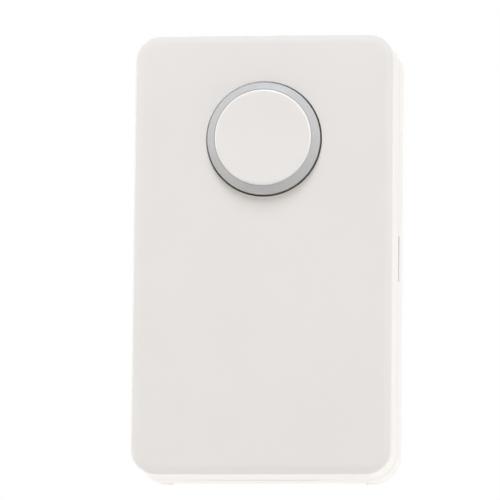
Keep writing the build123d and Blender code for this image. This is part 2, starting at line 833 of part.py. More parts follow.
# Board screws: four pan heads with cross recesses, shanks in the cover's bosses
with BuildPart() as board_screws:
    with BuildSketch(case_plane.offset(board_standoff)):
        with GridLocations(boss_span_x, boss_span_z, 2, 2):
            Circle(board_screw_radius)
    extrude(amount=board_screw_length)
    with BuildSketch(case_plane.offset(board_standoff - board_screw_head_height)):
        with GridLocations(boss_span_x, boss_span_z, 2, 2):
            Circle(board_screw_head_radius)
    extrude(amount=board_screw_head_height)
    head_rims = board_screws.faces().group_by(Axis.Y)[-1].edges()
    chamfer(head_rims, board_screw_head_height / 3)
    with BuildSketch(case_plane.offset(board_standoff - board_screw_head_height)):
        with GridLocations(boss_span_x, boss_span_z, 2, 2):
            Rectangle(board_screw_head_radius, recess_arm_width)
            Rectangle(recess_arm_width, board_screw_head_radius)
    extrude(amount=recess_depth, mode=Mode.SUBTRACT)
board_screws.part.label = "board_screws"
export_step(board_screws.part, "parts/board_screws.step")

# Radio module: small board with half pads along three sides
with BuildPart() as radio_module:
    with BuildSketch(module_plane.offset(board_front + pad_thickness)):
        Rectangle(module_width, module_height)
    extrude(amount=module_thickness)
    with BuildSketch(module_plane.offset(board_front)):
        for side in (-1, 1):
            with Locations((side * (module_width - pad_width) / 2, 0)):
                with GridLocations(0, pad_pitch, 1, pad_count):
                    Rectangle(pad_width, pad_length)
    extrude(amount=pad_thickness)
radio_module.part.label = "radio_module"
export_step(radio_module.part, "parts/radio_module.step")

# Radio shield: drawn can, open towards the module, with vent holes
module_front = board_front + pad_thickness + module_thickness
shield_plane = module_plane.offset(module_front)
with BuildPart() as radio_shield:
    with BuildSketch(shield_plane):
        with Locations((0, -shield_offset)):
            RectangleRounded(shield_width, shield_height, shield_corner_radius)
    extrude(amount=shield_rise)
    fillet(radio_shield.faces().sort_by(Axis.Y)[0].edges(), shield_corner_radius / 2)
    with BuildSketch(shield_plane):
        with Locations((0, -shield_offset)):
            RectangleRounded(
                shield_width - 2 * shield_sheet,
                shield_height - 2 * shield_sheet,
                shield_corner_radius - shield_sheet,
            )
    extrude(amount=shield_rise - shield_sheet, mode=Mode.SUBTRACT)
    with BuildSketch(shield_plane):
        with Locations((0, -shield_offset)):
            with GridLocations(shield_vent_spacing, shield_vent_spacing, 3, 3):
                Circle(shield_vent_radius)
    extrude(amount=shield_rise, mode=Mode.SUBTRACT)
radio_shield.part.label = "radio_shield"
export_step(radio_shield.part, "parts/radio_shield.step")

# Antenna: flat strip on two legs, with feet on the board
antenna_plane = case_plane.offset(board_front)
with BuildPart() as antenna:
    with BuildSketch(antenna_plane.offset(antenna_rise - antenna_sheet)):
        with Locations((0, -antenna_drop)):
            Rectangle(antenna_length, antenna_strip)
    extrude(amount=antenna_sheet)
    leg_z = -antenna_drop + (antenna_strip - antenna_sheet) / 2
    leg_x = -(antenna_length - antenna_leg_width) / 2
    with BuildSketch(antenna_plane):
        with Locations((leg_x, leg_z), (leg_x + antenna_leg_gap, leg_z)):
            Rectangle(antenna_leg_width, antenna_sheet)
    extrude(amount=antenna_rise - antenna_sheet)
    foot_z = leg_z + antenna_foot / 2
    with BuildSketch(antenna_plane):
        with Locations((leg_x, foot_z), (leg_x + antenna_leg_gap, foot_z)):
            Rectangle(antenna_leg_width, antenna_foot)
    extrude(amount=antenna_sheet)
antenna.part.label = "antenna"
export_step(antenna.part, "parts/antenna.step")

# Crystal: small metal cylinder that lies along the board, with a rim and two leads
crystal_standoff = board_front + crystal_rim_radius + crystal_seat_gap
crystal_base_z = case_centre_z - crystal_drop - crystal_length / 2
crystal_plane = Plane(
    origin=(left_group_x, -crystal_standoff, crystal_base_z), x_dir=(1, 0, 0), z_dir=(0, 0, 1)
)
with BuildPart() as crystal:
    with BuildSketch(crystal_plane):
        Circle(crystal_radius)
    extrude(amount=crystal_length)
    fillet(crystal.faces().sort_by(Axis.Z)[-1].edges(), crystal_radius / 3)
    with BuildSketch(crystal_plane):
        Circle(crystal_rim_radius)
    extrude(amount=crystal_rim_length)
    with BuildSketch(crystal_plane.offset(-crystal_lead_length)):
        with GridLocations(crystal_lead_spacing, 0, 2, 1):
            Circle(crystal_lead_radius)
    extrude(amount=crystal_lead_length)
crystal.part.label = "crystal"
export_step(crystal.part, "parts/crystal.step")

# Reservoir capacitor: moulded block with chamfered edges and an end tab at each side
tank_plane = Plane(
    origin=(right_group_x, 0, case_centre_z - tank_drop), x_dir=(1, 0, 0), z_dir=(0, -1, 0)
).offset(board_front)
with BuildPart() as reservoir_capacitor:
    with BuildSketch(tank_plane):
        Rectangle(tank_width, tank_length)
    extrude(amount=tank_height)
    chamfer(reservoir_capacitor.faces().sort_by(Axis.Y)[0].edges(), tank_edge_cut)
    with BuildSketch(tank_plane):
        Rectangle(tank_tab_width, tank_length + 2 * tank_tab_reach)
    extrude(amount=tank_tab_height)
reservoir_capacitor.part.label = "reservoir_capacitor"
export_step(reservoir_capacitor.part, "parts/reservoir_capacitor.step")


def chip_grid(pitch_x, pitch_z, columns, rows, height, place):
    """Rows of chip parts with end caps that stand a little proud; place is their plane."""
    with BuildPart() as chips:
        with BuildSketch(place):
            with GridLocations(pitch_x, pitch_z, columns, rows):
                Rectangle(chip_length, chip_width)
        extrude(amount=height)
        with BuildSketch(place):
            for side in (-1, 1):
                with Locations((side * (chip_length - chip_end) / 2, 0)):
                    with GridLocations(pitch_x, pitch_z, columns, rows):
                        Rectangle(chip_end + 2 * chip_end_skin, chip_width + 2 * chip_end_skin)
        extrude(amount=height + chip_end_skin)
    return chips.part


# Chip capacitors and chip resistors, each kind one group
capacitor_plane = Plane(
    origin=(left_group_x, 0, case_centre_z - capacitor_drop), x_dir=(1, 0, 0), z_dir=(0, -1, 0)
)
chip_capacitors = chip_grid(
    capacitor_pitch_x, capacitor_pitch_z, capacitor_columns, capacitor_rows,
    capacitor_height, capacitor_plane.offset(board_front),
)
chip_capacitors.label = "chip_capacitors"
export_step(chip_capacitors, "parts/chip_capacitors.step")
resistor_plane = Plane(
    origin=(right_group_x, 0, case_centre_z - resistor_drop), x_dir=(1, 0, 0), z_dir=(0, -1, 0)
)
chip_resistors = chip_grid(
    resistor_pitch_x, resistor_pitch_z, resistor_columns, resistor_rows,
    resistor_height, resistor_plane.offset(board_front),
)
chip_resistors.label = "chip_resistors"
export_step(chip_resistors, "parts/chip_resistors.step")

# Battery holder: round cup with finger gaps, slots for the contacts and two pegs
negative_slot_left = -cup_radius - holder_wall - overrun
negative_slot_right = negative_arch_end + contact_slot_gap
with BuildPart() as battery_holder:
    with BuildSketch(cell_plane.offset(holder_top)):
        Circle(cup_radius + holder_wall)
    extrude(amount=holder_height)
    with BuildSketch(cell_plane.offset(holder_top)):
        Circle(cup_radius)
    extrude(amount=holder_height - holder_floor, mode=Mode.SUBTRACT)
    with BuildSketch(cell_plane.offset(holder_top)):
        Rectangle(holder_grip_width, 2 * (cup_radius + holder_wall + overrun))
        with Locations((cup_radius + holder_wall, 0)):
            Rectangle(2 * (holder_wall + contact_slot_gap), positive_width + 2 * contact_slot_gap)
    extrude(amount=holder_height - holder_floor, mode=Mode.SUBTRACT)
    with BuildSketch(cell_plane.offset(floor_level)):
        with Locations(((negative_slot_left + negative_slot_right) / 2, 0)):
            Rectangle(
                negative_slot_right - negative_slot_left, negative_width + 2 * contact_slot_gap
            )
    extrude(amount=holder_floor, mode=Mode.SUBTRACT)
    with BuildSketch(cell_plane.offset(board_standoff)):
        with GridLocations(0, holder_peg_span, 1, 2):
            Circle(peg_radius)
    extrude(amount=peg_length)
battery_holder.part.label = "battery_holder"
export_step(battery_holder.part, "parts/battery_holder.step")

# Negative contact: foot on the board, arched leaf under the cell
leaf_seat = board_standoff - contact_sheet / 2
leaf_crest = floor_level - negative_lift + contact_sheet / 2
with BuildPart() as negative_contact:
    with BuildSketch(cell_level.offset(-negative_width / 2)):
        with BuildLine():
            FilletPolyline(
                (-negative_foot_end, leaf_seat),
                (-negative_arch_start, leaf_seat),
                (0, leaf_crest),
                (negative_arch_end, (leaf_crest + floor_level) / 2),
                radius=contact_bend,
            )
        trace(line_width=contact_sheet)
    extrude(amount=negative_width)
negative_contact.part.label = "negative_contact"
export_step(negative_contact.part, "parts/negative_contact.step")

# Positive contact: foot on the board, riser outside the cup, leaf folded back to the cell's side
riser_x = cup_radius + holder_wall + positive_riser_gap
leaf_x = cell_radius + contact_gap + contact_sheet / 2
leaf_top = holder_top + positive_top_gap
with BuildPart() as positive_contact:
    with BuildSketch(cell_level.offset(-positive_width / 2)):
        with BuildLine():
            FilletPolyline(
                (positive_foot_end, leaf_seat),
                (riser_x, leaf_seat),
                (riser_x, leaf_top),
                (leaf_x + positive_lean, leaf_top),
                (leaf_x, (leaf_top + cell_front) / 2),
                (leaf_x + positive_lean, leaf_top + positive_tail),
                radius=contact_sheet,
            )
        trace(line_width=contact_sheet)
    extrude(amount=positive_width)
positive_contact.part.label = "positive_contact"
export_step(positive_contact.part, "parts/positive_contact.step")

# Coin cell: can with a smaller stepped cap towards the board
with BuildPart() as coin_cell:
    with BuildSketch(cell_level) as cell_section:
        with BuildLine():
            Polyline(
                (0, cell_back),
                (cell_radius, cell_back),
                (cell_radius, cell_front - cell_cap_height),
                (cell_cap_radius, cell_front - cell_cap_height),
                (cell_cap_radius, cell_front),
                (0, cell_front),
                close=True,
            )
        make_face()
        cell_corners = ShapeList(
            cell_section.vertices().sort_by_distance((cell_radius, cell_back))[:1]
            + cell_section.vertices().sort_by_distance((cell_cap_radius, cell_front))[:1]
        )
        fillet(cell_corners, cell_edge_round)
    revolve(axis=cell_axis)
coin_cell.part.label = "coin_cell"
export_step(coin_cell.part, "parts/coin_cell.step")

# Battery door: plate with two sunk screw holes, a finger nick and a round rib over the cell
with BuildPart() as battery_door:
    with BuildSketch(cell_plane.offset(door_outside)):
        RectangleRounded(door_width, door_height, door_corner_radius)
    extrude(amount=door_thickness)
    chamfer(battery_door.faces().sort_by(Axis.Y)[-1].edges(), door_edge_cut)
    with BuildSketch(cell_plane.offset(door_inside)):
        Circle(door_rib_radius)
        Circle(door_rib_radius - door_rib_wall, mode=Mode.SUBTRACT)
    extrude(amount=door_rib_height)
    with BuildSketch(cell_plane.offset(door_outside)):
        with Locations((door_width / 2, 0)):
            Rectangle(2 * door_grip_depth, door_grip_width)
    extrude(amount=door_thickness, mode=Mode.SUBTRACT)
    with Locations(Plane(origin=(0, -door_outside, cell_z), x_dir=(1, 0, 0), z_dir=(0, 1, 0))):
        with GridLocations(0, door_screw_span, 1, 2):
            CounterSinkHole(
                door_screw_radius + fit_gap, door_screw_head_radius + fit_gap, door_thickness
            )
battery_door.part.label = "battery_door"
export_step(battery_door.part, "parts/battery_door.step")

# Door screws: two sunk heads with cross recesses
head_outside = door_outside + door_screw_sunk
with BuildPart() as door_screws:
    for rise in (-door_screw_span / 2, door_screw_span / 2):
        with BuildSketch(cell_level.offset(-rise)):
            with BuildLine():
                Polyline(
                    (0, head_outside),
                    (door_screw_head_radius, head_outside),
                    (door_screw_radius, head_outside + door_screw_head_depth),
                    (door_screw_radius, door_outside + door_screw_length),
                    (0, door_outside + door_screw_length),
                    close=True,
                )
            make_face()
        revolve(axis=Axis((0, 0, cell_z + rise), (0, -1, 0)))
    with BuildSketch(cell_plane.offset(head_outside)):
        with GridLocations(0, door_screw_span, 1, 2):
            Rectangle(door_screw_head_radius, recess_arm_width)
            Rectangle(recess_arm_width, door_screw_head_radius)
    extrude(amount=recess_depth, mode=Mode.SUBTRACT)
door_screws.part.label = "door_screws"
export_step(door_screws.part, "parts/door_screws.step")

# Cell pad: foam between the door and the cell
with BuildPart() as cell_pad:
    with BuildSketch(cell_plane.offset(door_inside)):
        RectangleRounded(pad_size, pad_size, pad_corner_radius)
    extrude(amount=cell_back - fit_gap - door_inside)
cell_pad.part.label = "cell_pad"
export_step(cell_pad.part, "parts/cell_pad.step")
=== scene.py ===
"""Looks of the smart button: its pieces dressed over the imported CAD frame, and the stage."""
import math
import random

import bmesh
import bpy
from bpy.props import FloatProperty, FloatVectorProperty, IntProperty, PointerProperty
from mathutils import Matrix, Vector


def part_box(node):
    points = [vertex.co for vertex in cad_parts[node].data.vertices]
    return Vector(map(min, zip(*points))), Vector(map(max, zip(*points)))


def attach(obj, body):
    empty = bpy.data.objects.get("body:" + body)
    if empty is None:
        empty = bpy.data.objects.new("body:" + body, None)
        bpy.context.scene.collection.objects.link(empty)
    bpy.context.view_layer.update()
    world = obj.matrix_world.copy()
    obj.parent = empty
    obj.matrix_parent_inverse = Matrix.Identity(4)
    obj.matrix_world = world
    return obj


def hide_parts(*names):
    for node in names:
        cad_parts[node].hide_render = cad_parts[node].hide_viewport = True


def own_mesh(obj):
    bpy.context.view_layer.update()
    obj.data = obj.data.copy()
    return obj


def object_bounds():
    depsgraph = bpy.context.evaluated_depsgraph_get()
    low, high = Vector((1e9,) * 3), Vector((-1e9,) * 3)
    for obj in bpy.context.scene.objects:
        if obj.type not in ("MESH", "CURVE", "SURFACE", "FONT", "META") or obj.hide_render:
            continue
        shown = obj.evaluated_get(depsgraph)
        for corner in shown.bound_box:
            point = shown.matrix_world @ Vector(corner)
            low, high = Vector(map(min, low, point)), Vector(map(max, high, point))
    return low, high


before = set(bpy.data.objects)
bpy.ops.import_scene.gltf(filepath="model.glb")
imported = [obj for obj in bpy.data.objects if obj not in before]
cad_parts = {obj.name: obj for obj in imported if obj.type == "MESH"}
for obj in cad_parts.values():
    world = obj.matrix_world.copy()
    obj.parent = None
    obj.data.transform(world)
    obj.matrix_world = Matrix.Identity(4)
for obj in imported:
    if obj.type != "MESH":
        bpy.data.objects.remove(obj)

cad_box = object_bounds()

bl_info = {
    "name": "Smart button",
    "version": (1, 0, 0),
    "blender": (4, 5, 0),
    "location": "View3D > Sidebar > Smart button",
    "description": "Builds the finished look of a wall-mounted smart button",
    "category": "Object",
}

MM = 0.001
SHARP_ANGLE = math.radians(32)


def linear(code):
    """An sRGB hex value, such as 0xE7E3E0, as a linear colour."""
    parts = [(code >> shift & 255) / 255 for shift in (16, 8, 0)]
    parts = [p / 12.92 if p <= 0.04045 else ((p + 0.055) / 1.055) ** 2.4 for p in parts]
    return (*parts, 1.0)


def wire(tree, node, inputs):
    """Set a node's inputs, by name or number: to a value, an output, or a node for its first output."""
    for key, value in inputs.items():
        if isinstance(value, bpy.types.Node):
            value = value.outputs[0]
        if isinstance(value, bpy.types.NodeSocket):
            tree.links.new(value, node.inputs[key])
        else:
            node.inputs[key].default_value = value


def put(tree, kind, inputs=None, **settings):
    """Add a node with its own settings, and set its inputs."""
    node = tree.nodes.new(kind)
    for key, value in settings.items():
        setattr(node, key, value)
    wire(tree, node, inputs or {})
    return node


def colour_prop(name, description, code):
    """A colour property whose default is an sRGB hex value."""
    return FloatVectorProperty(
        name=name, description=description, subtype="COLOR", size=4, min=0, max=1, default=linear(code)
    )


def length_prop(name, description, default, low=0.0, high=100.0):
    """A length property; default, low and high are in millimetres."""
    return FloatProperty(
        name=name, description=description, unit="LENGTH", default=default * MM, min=low * MM, max=high * MM
    )


def angle_prop(name, description, degrees):
    """An angle property; its default is in degrees."""
    return FloatProperty(name=name, description=description, subtype="ANGLE", default=math.radians(degrees))


# Sizes and colours that a user would change
class SmartButtonColours(bpy.types.PropertyGroup):
    """Colours of the finishes"""

    case: colour_prop("Case", "Moulded covers, door and bracket", 0xF2EBE2)
    cap: colour_prop("Cap", "Disc that is pressed", 0xF3ECE3)
    ring: colour_prop("Light ring", "Frosted ring round the cap", 0xC0BDB9)
    mask: colour_prop("Solder mask", "Green lacquer of both boards", 0x1D6A3C)
    track: colour_prop("Tracks", "Copper seen through the lacquer", 0x2E8A50)
    solder: colour_prop("Solder", "Tin joints and plated pads", 0xCFD0D0)
    zinc: colour_prop("Zinc plate", "Screws", 0xC4C6C9)
    tinned: colour_prop("Tinned steel", "Shield and crystal can", 0xCBCAC6)
    nickel: colour_prop("Nickel strip", "Contacts, antenna and terminals", 0xD6CFBF)
    nylon: colour_prop("Black nylon", "Battery holder and switch housing", 0x232326)
    plunger: colour_prop("Grey acetal", "Plunger of the switch", 0x8C8C8E)
    silicone: colour_prop("Silicone", "Collar that returns the button", 0xD9D9D2)
    reflector: colour_prop("Reflector", "White ring round the lamps", 0xF6F5F1)
    lamp: colour_prop("Lamp lens", "Yellow phosphor under clear epoxy", 0xF1E08A)
    tantalum: colour_prop("Tantalum case", "Moulded resin of the reservoir capacitor", 0xD79A3C)
    ceramic: colour_prop("Ceramic", "Bodies of the chip capacitors", 0xB59E7C)
    resistor: colour_prop("Resistor glaze", "Dark glaze of the chip resistors", 0x17181C)
    cell: colour_prop("Coin cell", "Stainless can of the cell", 0xCDCCC8)
    foam: colour_prop("Foam", "Pad that holds the cell down", 0x4A4B50)
    floor: colour_prop("Floor", "Pale studio floor", 0xF4F4F4)


class SmartButtonSizes(bpy.types.PropertyGroup):
    """Sizes of the cap, the light ring, the screws and the surface detail"""

    grain: length_prop("Mould texture", "Distance between grains of the spark-eroded finish", 0.35, 0.05, 2)
    grain_height: length_prop("Texture height", "Height of the spark-eroded grains", 0.005, 0, 0.1)
    cap_edge: length_prop("Cap edge", "Rounding of the cap's rim", 0.4, 0.05, 1)
    cap_dish: length_prop("Cap dish", "Depth of the hollow in the cap", 0.2, 0.01, 0.5)
    cap_sides: IntProperty(
        name="Cap sides", description="Facets round the cap and its ring", default=192, min=24, max=512
    )
    ring_wall: length_prop("Ring wall", "Height of the light ring's wall above the face", 0.95, 0.2, 1.5)
    thread_pitch: length_prop("Thread pitch", "Pitch of the thread-forming screws", 0.7, 0.2, 2)
    track_width: length_prop("Track width", "Width of the copper tracks", 0.3, 0.1, 1)
    gate_mark: length_prop("Gate mark", "Radius of the marks where plastic entered the mould", 0.8, 0.3, 2)


class SmartButtonView(bpy.types.PropertyGroup):
    """The photograph's point of view"""

    azimuth: angle_prop("Azimuth", "To the right of straight ahead", 6.6)
    elevation: angle_prop("Elevation", "Above the horizon", -8.0)
    roll: angle_prop("Roll", "Turn of the picture", 0.62)
    distance: length_prop("Distance", "From the camera to its aim", 900, 100, 5000)
    lens: FloatProperty(name="Lens", description="Focal length", unit="CAMERA", default=374.0)
    aim_x: length_prop("Aim across", "Aim, to the right of the front cover's middle", -3.14, -50, 50)
    aim_z: length_prop("Aim up", "Aim, above the front cover's middle", 1.63, -50, 50)
    aim_depth: length_prop("Aim depth", "Aim, in front of the wall", 7.0, 0, 50)


def colours():
    return bpy.context.scene.smart_button_colours


def sizes():
    return bpy.context.scene.smart_button_sizes


def axis_of(node):
    """Where the line from front to rear through a CAD node's middle meets the wall."""
    low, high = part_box(node)
    return Vector(((low.x + high.x) / 2, 0, (low.z + high.z) / 2))


# Materials: each starts from the real one's typical values
def shader_of(material):
    """The Principled shader of a material."""
    return next(n for n in material.node_tree.nodes if n.type == "BSDF_PRINCIPLED")


def surface(name):
    """A new material with a Principled shader; returns it, its tree, its shader and its coordinates."""
    material = bpy.data.materials.new(name)
    material.use_nodes = True
    tree = material.node_tree
    return material, tree, shader_of(material), put(tree, "ShaderNodeTexCoord").outputs["Object"]


def made_once(make):
    """Keep the first material that a finish makes, and name it for its function."""

    def finish():
        return bpy.data.materials.get(make.__name__) or make(make.__name__)

    return finish


# Most of a noise texture's values lie between these
NOISE_RANGE = {"From Min": 0.3, "From Max": 0.7}


def skin(tree, shader, share, colour, deep, pattern, roughness, spread, height):
    """Tint a shader from colour to deep by a share, and vary its gloss and relief by a pattern."""
    tint = put(tree, "ShaderNodeMix", {0: share, 6: colour, 7: linear(deep)}, data_type="RGBA")
    gloss = put(tree, "ShaderNodeMapRange", {
        "Value": pattern, **NOISE_RANGE, "To Min": roughness - spread, "To Max": roughness + spread,
    })
    relief = put(tree, "ShaderNodeBump", {"Height": pattern, "Distance": height})
    wire(tree, shader, {"Base Color": tint.outputs[2], "Roughness": gloss, "Normal": relief})


def moulded(name, colour, roughness, ior, grain, height, mottle=0.03, patch=18):
    """Moulded plastic: fine grain from the mould, and a faint mottle in patches; lengths in mm."""
    material, tree, shader, place = surface(name)
    fine = put(tree, "ShaderNodeTexNoise", {
        "Vector": place, "Scale": 1 / (grain * MM), "Detail": 2.0, "Roughness": 0.55,
    })
    broad = put(tree, "ShaderNodeTexNoise", {"Vector": place, "Scale": 1 / (patch * MM), "Detail": 3.0})
    share = put(tree, "ShaderNodeMapRange", {
        "Value": broad, **NOISE_RANGE, "To Min": mottle, "To Max": 0.0,
    })
    skin(tree, shader, share, colour, 0x000000, fine, roughness, 0.05, height * MM)
    shader.inputs["IOR"].default_value = ior
    return material


def worked_metal(name, colour, roughness, spread, line=0.12, length=5, height=0.002):
    """Strip or plated metal: lines along x left by rolling, which streak gloss and shade; lengths in mm."""
    material, tree, shader, place = surface(name)
    along = put(tree, "ShaderNodeMapping", {
        "Vector": place, "Scale": (1 / (length * MM), 1 / (line * MM), 1 / (line * MM)),
    })
    lines = put(tree, "ShaderNodeTexNoise", {"Vector": along, "Scale": 1.0, "Detail": 3.0})
    cloud = put(tree, "ShaderNodeTexNoise", {"Vector": place, "Scale": 1 / (2.5 * MM), "Detail": 2.0})
    both = put(tree, "ShaderNodeMath", {0: lines, 1: cloud}, operation="MULTIPLY")
    shade = put(tree, "ShaderNodeMapRange", {
        "Value": both, "From Min": 0.1, "From Max": 0.4, "To Min": 0.22, "To Max": 0.0,
    })
    skin(tree, shader, shade, colour, 0x40403C, lines, roughness, spread, height * MM)
    shader.inputs["Metallic"].default_value = 1.0
    return material


@made_once
def abs_spark_eroded(name):
    """ABS, satin from the spark-eroded mould: soft, even, and lighter where it turns to the light."""
    return moulded(name, colours().case, 0.36, 1.53, sizes().grain / MM, sizes().grain_height / MM, 0.02)


@made_once
def abs_fine_satin(name):
    """ABS from a finer mould: the cap is a touch smoother and whiter than the covers."""
    return moulded(name, colours().cap, 0.32, 1.53, 0.25, 0.003, 0.015)


@made_once
def frosted_polycarbonate(name):
    """Polycarbonate with a frosted skin: pale grey and soft, with no clear reflection."""
    return moulded(name, colours().ring, 0.34, 1.58, 0.2, 0.004, 0.03, 6)


@made_once
def nylon_glass_filled(name):
    """Glass-filled nylon: near black, dull, with short fibres that roughen its skin."""
    return moulded(name, colours().nylon, 0.52, 1.53, 0.3, 0.012, 0.25, 3)


@made_once
def acetal_grey(name):
    """Acetal: dense and a little waxy."""
    return moulded(name, colours().plunger, 0.38, 1.48, 0.25, 0.003, 0.06, 2)


@made_once
def silicone_pressed(name):
    """Silicone rubber, pressed: milky, with light that spreads inside it."""
    material = moulded(name, colours().silicone, 0.45, 1.41, 0.5, 0.01, 0.06, 4)
    wire(material.node_tree, shader_of(material), {
        "Subsurface Weight": 0.35, "Subsurface Radius": (1.0, 0.9, 0.8), "Subsurface Scale": 1.0 * MM,
    })
    return material


@made_once
def polished_polycarbonate(name):
    """White polycarbonate, polished in its mould: bright and smooth, so that it leads the light."""
    return moulded(name, colours().reflector, 0.22, 1.58, 0.6, 0.002, 0.02, 5)


@made_once
def lamp_epoxy(name):
    """Clear epoxy over yellow phosphor: glossy, with a faint random mottle in its colour."""
    return moulded(name, colours().lamp, 0.12, 1.54, 0.4, 0.002, 0.12, 0.7)


@made_once
def resistor_glaze(name):
    """Glass glaze over the film: near black and shiny."""
    return moulded(name, colours().resistor, 0.15, 1.52, 0.3, 0.004, 0.2, 0.8)


@made_once
def ceramic_fired(name):
    """Fired ceramic: tan, dull, with a fine speckle."""
    return moulded(name, colours().ceramic, 0.55, 1.6, 0.12, 0.006, 0.2, 0.4)


@made_once
def copper_under_mask(name):
    """Copper under the lacquer: a lighter green, as glossy as the board."""
    return moulded(name, colours().track, 0.25, 1.5, 0.3, 0.004, 0.1, 4)


@made_once
def steel_zinc_plated(name):
    """Steel, barrel plated with zinc: bright, finely pitted and cloudy."""
    return worked_metal(name, colours().zinc, 0.3, 0.08, 0.25, 0.4, 0.004)


@made_once
def steel_tinned(name):
    """Tinned steel sheet: bright, with the rolling lines of the strip."""
    return worked_metal(name, colours().tinned, 0.26, 0.08)


@made_once
def nickel_strip(name):
    """Nickel-plated spring strip: warm white, with fine rolling lines."""
    return worked_metal(name, colours().nickel, 0.28, 0.1, 0.08, 3)


@made_once
def solder_tin(name):
    """Tin solder: bright, rippled as it froze."""
    return worked_metal(name, colours().solder, 0.24, 0.1, 0.3, 0.4, 0.02)


@made_once
def stainless_turned(name):
    """Stainless can, drawn and finished on a wheel: fine rings round the cell's middle."""
    material, tree, shader, place = surface(name)
    centred = put(tree, "ShaderNodeVectorMath", {0: place, 1: -axis_of("coin_cell")}, operation="ADD")
    flat = put(tree, "ShaderNodeVectorMath", {0: centred, 1: (1, 0, 1)}, operation="MULTIPLY")
    radius = put(tree, "ShaderNodeVectorMath", {0: flat}, operation="LENGTH")
    # rings 0.15 mm apart, several times coarser than the wheel's, so that they show
    rings = put(tree, "ShaderNodeMath", {
        0: radius.outputs["Value"], 1: 1 / (0.15 * MM),
    }, operation="MULTIPLY")
    lines = put(tree, "ShaderNodeTexNoise", {
        "W": rings, "Scale": 1.0, "Detail": 3.0,
    }, noise_dimensions="1D")
    cloud = put(tree, "ShaderNodeTexNoise", {"Vector": place, "Scale": 1 / (4 * MM), "Detail": 3.0})
    shade = put(tree, "ShaderNodeMapRange", {
        "Value": cloud, "From Min": 0.35, "From Max": 0.7, "To Min": 0.15, "To Max": 0.0,
    })
    skin(tree, shader, shade, colours().cell, 0x6A6965, lines, 0.29, 0.09, 0.002 * MM)
    shader.inputs["Metallic"].default_value = 1.0
    return material


@made_once
def glass_epoxy_masked(name):
    """Woven glass and epoxy under green lacquer: glossy, with the weave faintly printed through."""
    material, tree, shader, place = surface(name)
    # threads 0.5 mm apart, as in the common weave
    warp, weft = (put(tree, "ShaderNodeTexWave", {
        "Vector": place, "Scale": math.pi / (10 * 0.5 * MM), "Distortion": 0.6,
    }, bands_direction=way) for way in "XZ")
    weave = put(tree, "ShaderNodeMath", {
        0: warp.outputs["Fac"], 1: weft.outputs["Fac"],
    }, operation="MULTIPLY")
    cloud = put(tree, "ShaderNodeTexNoise", {"Vector": place, "Scale": 1 / (6 * MM), "Detail": 3.0})
    share = put(tree, "ShaderNodeMath", {0: weave, 1: cloud}, operation="MULTIPLY")
    lacquer = put(tree, "ShaderNodeMix", {
        0: share, 6: colours().mask, 7: linear(0x2A7C4A),
    }, data_type="RGBA")
    # the sawn edge shows the bare laminate: dull straw yellow with its layers, 0.12 mm apart
    layers = put(tree, "ShaderNodeTexWave", {
        "Vector": place, "Scale": math.pi / (10 * 0.12 * MM), "Distortion": 1.0,
    }, bands_direction="Y")
    laminate = put(tree, "ShaderNodeMix", {
        0: layers.outputs["Fac"], 6: linear(0x9C9457), 7: linear(0xB8AE70),
    }, data_type="RGBA")
    facing = put(tree, "ShaderNodeSeparateXYZ", {
        0: put(tree, "ShaderNodeNewGeometry").outputs["True Normal"],
    })
    flatness = put(tree, "ShaderNodeMath", {0: facing.outputs["Y"]}, operation="ABSOLUTE")
    edge = put(tree, "ShaderNodeMath", {0: flatness, 1: 0.5}, operation="LESS_THAN")
    finish = put(tree, "ShaderNodeMix", {
        0: edge, 6: lacquer.outputs[2], 7: laminate.outputs[2],
    }, data_type="RGBA")
    gloss = put(tree, "ShaderNodeMapRange", {"Value": edge, "To Min": 0.22, "To Max": 0.75})
    relief = put(tree, "ShaderNodeBump", {"Height": weave, "Distance": 0.004 * MM})
    wire(tree, shader, {"Base Color": finish.outputs[2], "Roughness": gloss, "Normal": relief})
    return material


@made_once
def tantalum_resin(name):
    """Moulded epoxy: warm yellow, satin, with the brown bar that marks the plus end."""
    material = moulded(name, colours().tantalum, 0.4, 1.55, 0.2, 0.006, 0.1, 1.5)
    tree, shader = material.node_tree, shader_of(material)
    body = shader.inputs["Base Color"].links[0].from_socket
    bar_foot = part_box("reservoir_capacitor")[1].z - 1.9 * MM
    split = put(tree, "ShaderNodeSeparateXYZ", {0: put(tree, "ShaderNodeTexCoord").outputs["Object"]})
    bar = put(tree, "ShaderNodeMath", {0: split.outputs["Z"], 1: bar_foot}, operation="GREATER_THAN")
    finish = put(tree, "ShaderNodeMix", {0: bar, 6: body, 7: linear(0x5A3418)}, data_type="RGBA")
    wire(tree, shader, {"Base Color": finish.outputs[2]})
    return material


@made_once
def foam_open_cell(name):
    """Polyurethane foam: dark, matt, full of small open cells, whose pits are painted darker as painted
    shade.
    """
    material, tree, shader, place = surface(name)
    cells = put(tree, "ShaderNodeTexVoronoi", {"Vector": place, "Scale": 1 / (0.45 * MM)})
    # painted shade: the colour darkens to near black in the pits of the cells, where the bump is lowest, in
    # place of the shade inside the pores
    shade = put(tree, "ShaderNodeMapRange", {
        "Value": cells, "From Min": 0.1, "From Max": 0.7, "To Min": 0.8, "To Max": 0.0,
    })
    tint = put(tree, "ShaderNodeMix", {0: shade, 6: colours().foam, 7: linear(0x121214)}, data_type="RGBA")
    relief = put(tree, "ShaderNodeBump", {"Height": cells, "Distance": 0.12 * MM})
    wire(tree, shader, {"Base Color": tint.outputs[2], "Normal": relief, "Roughness": 0.95})
    return material


# Making pieces
def add_object(name, data):
    """A new object in the scene."""
    made = bpy.data.objects.new(name, data)
    bpy.context.scene.collection.objects.link(made)
    return made


def dress(material, *nodes):
    """Give carried-over CAD nodes their finish."""
    for node in nodes:
        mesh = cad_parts[node].data
        mesh.materials.clear()
        mesh.materials.append(material)


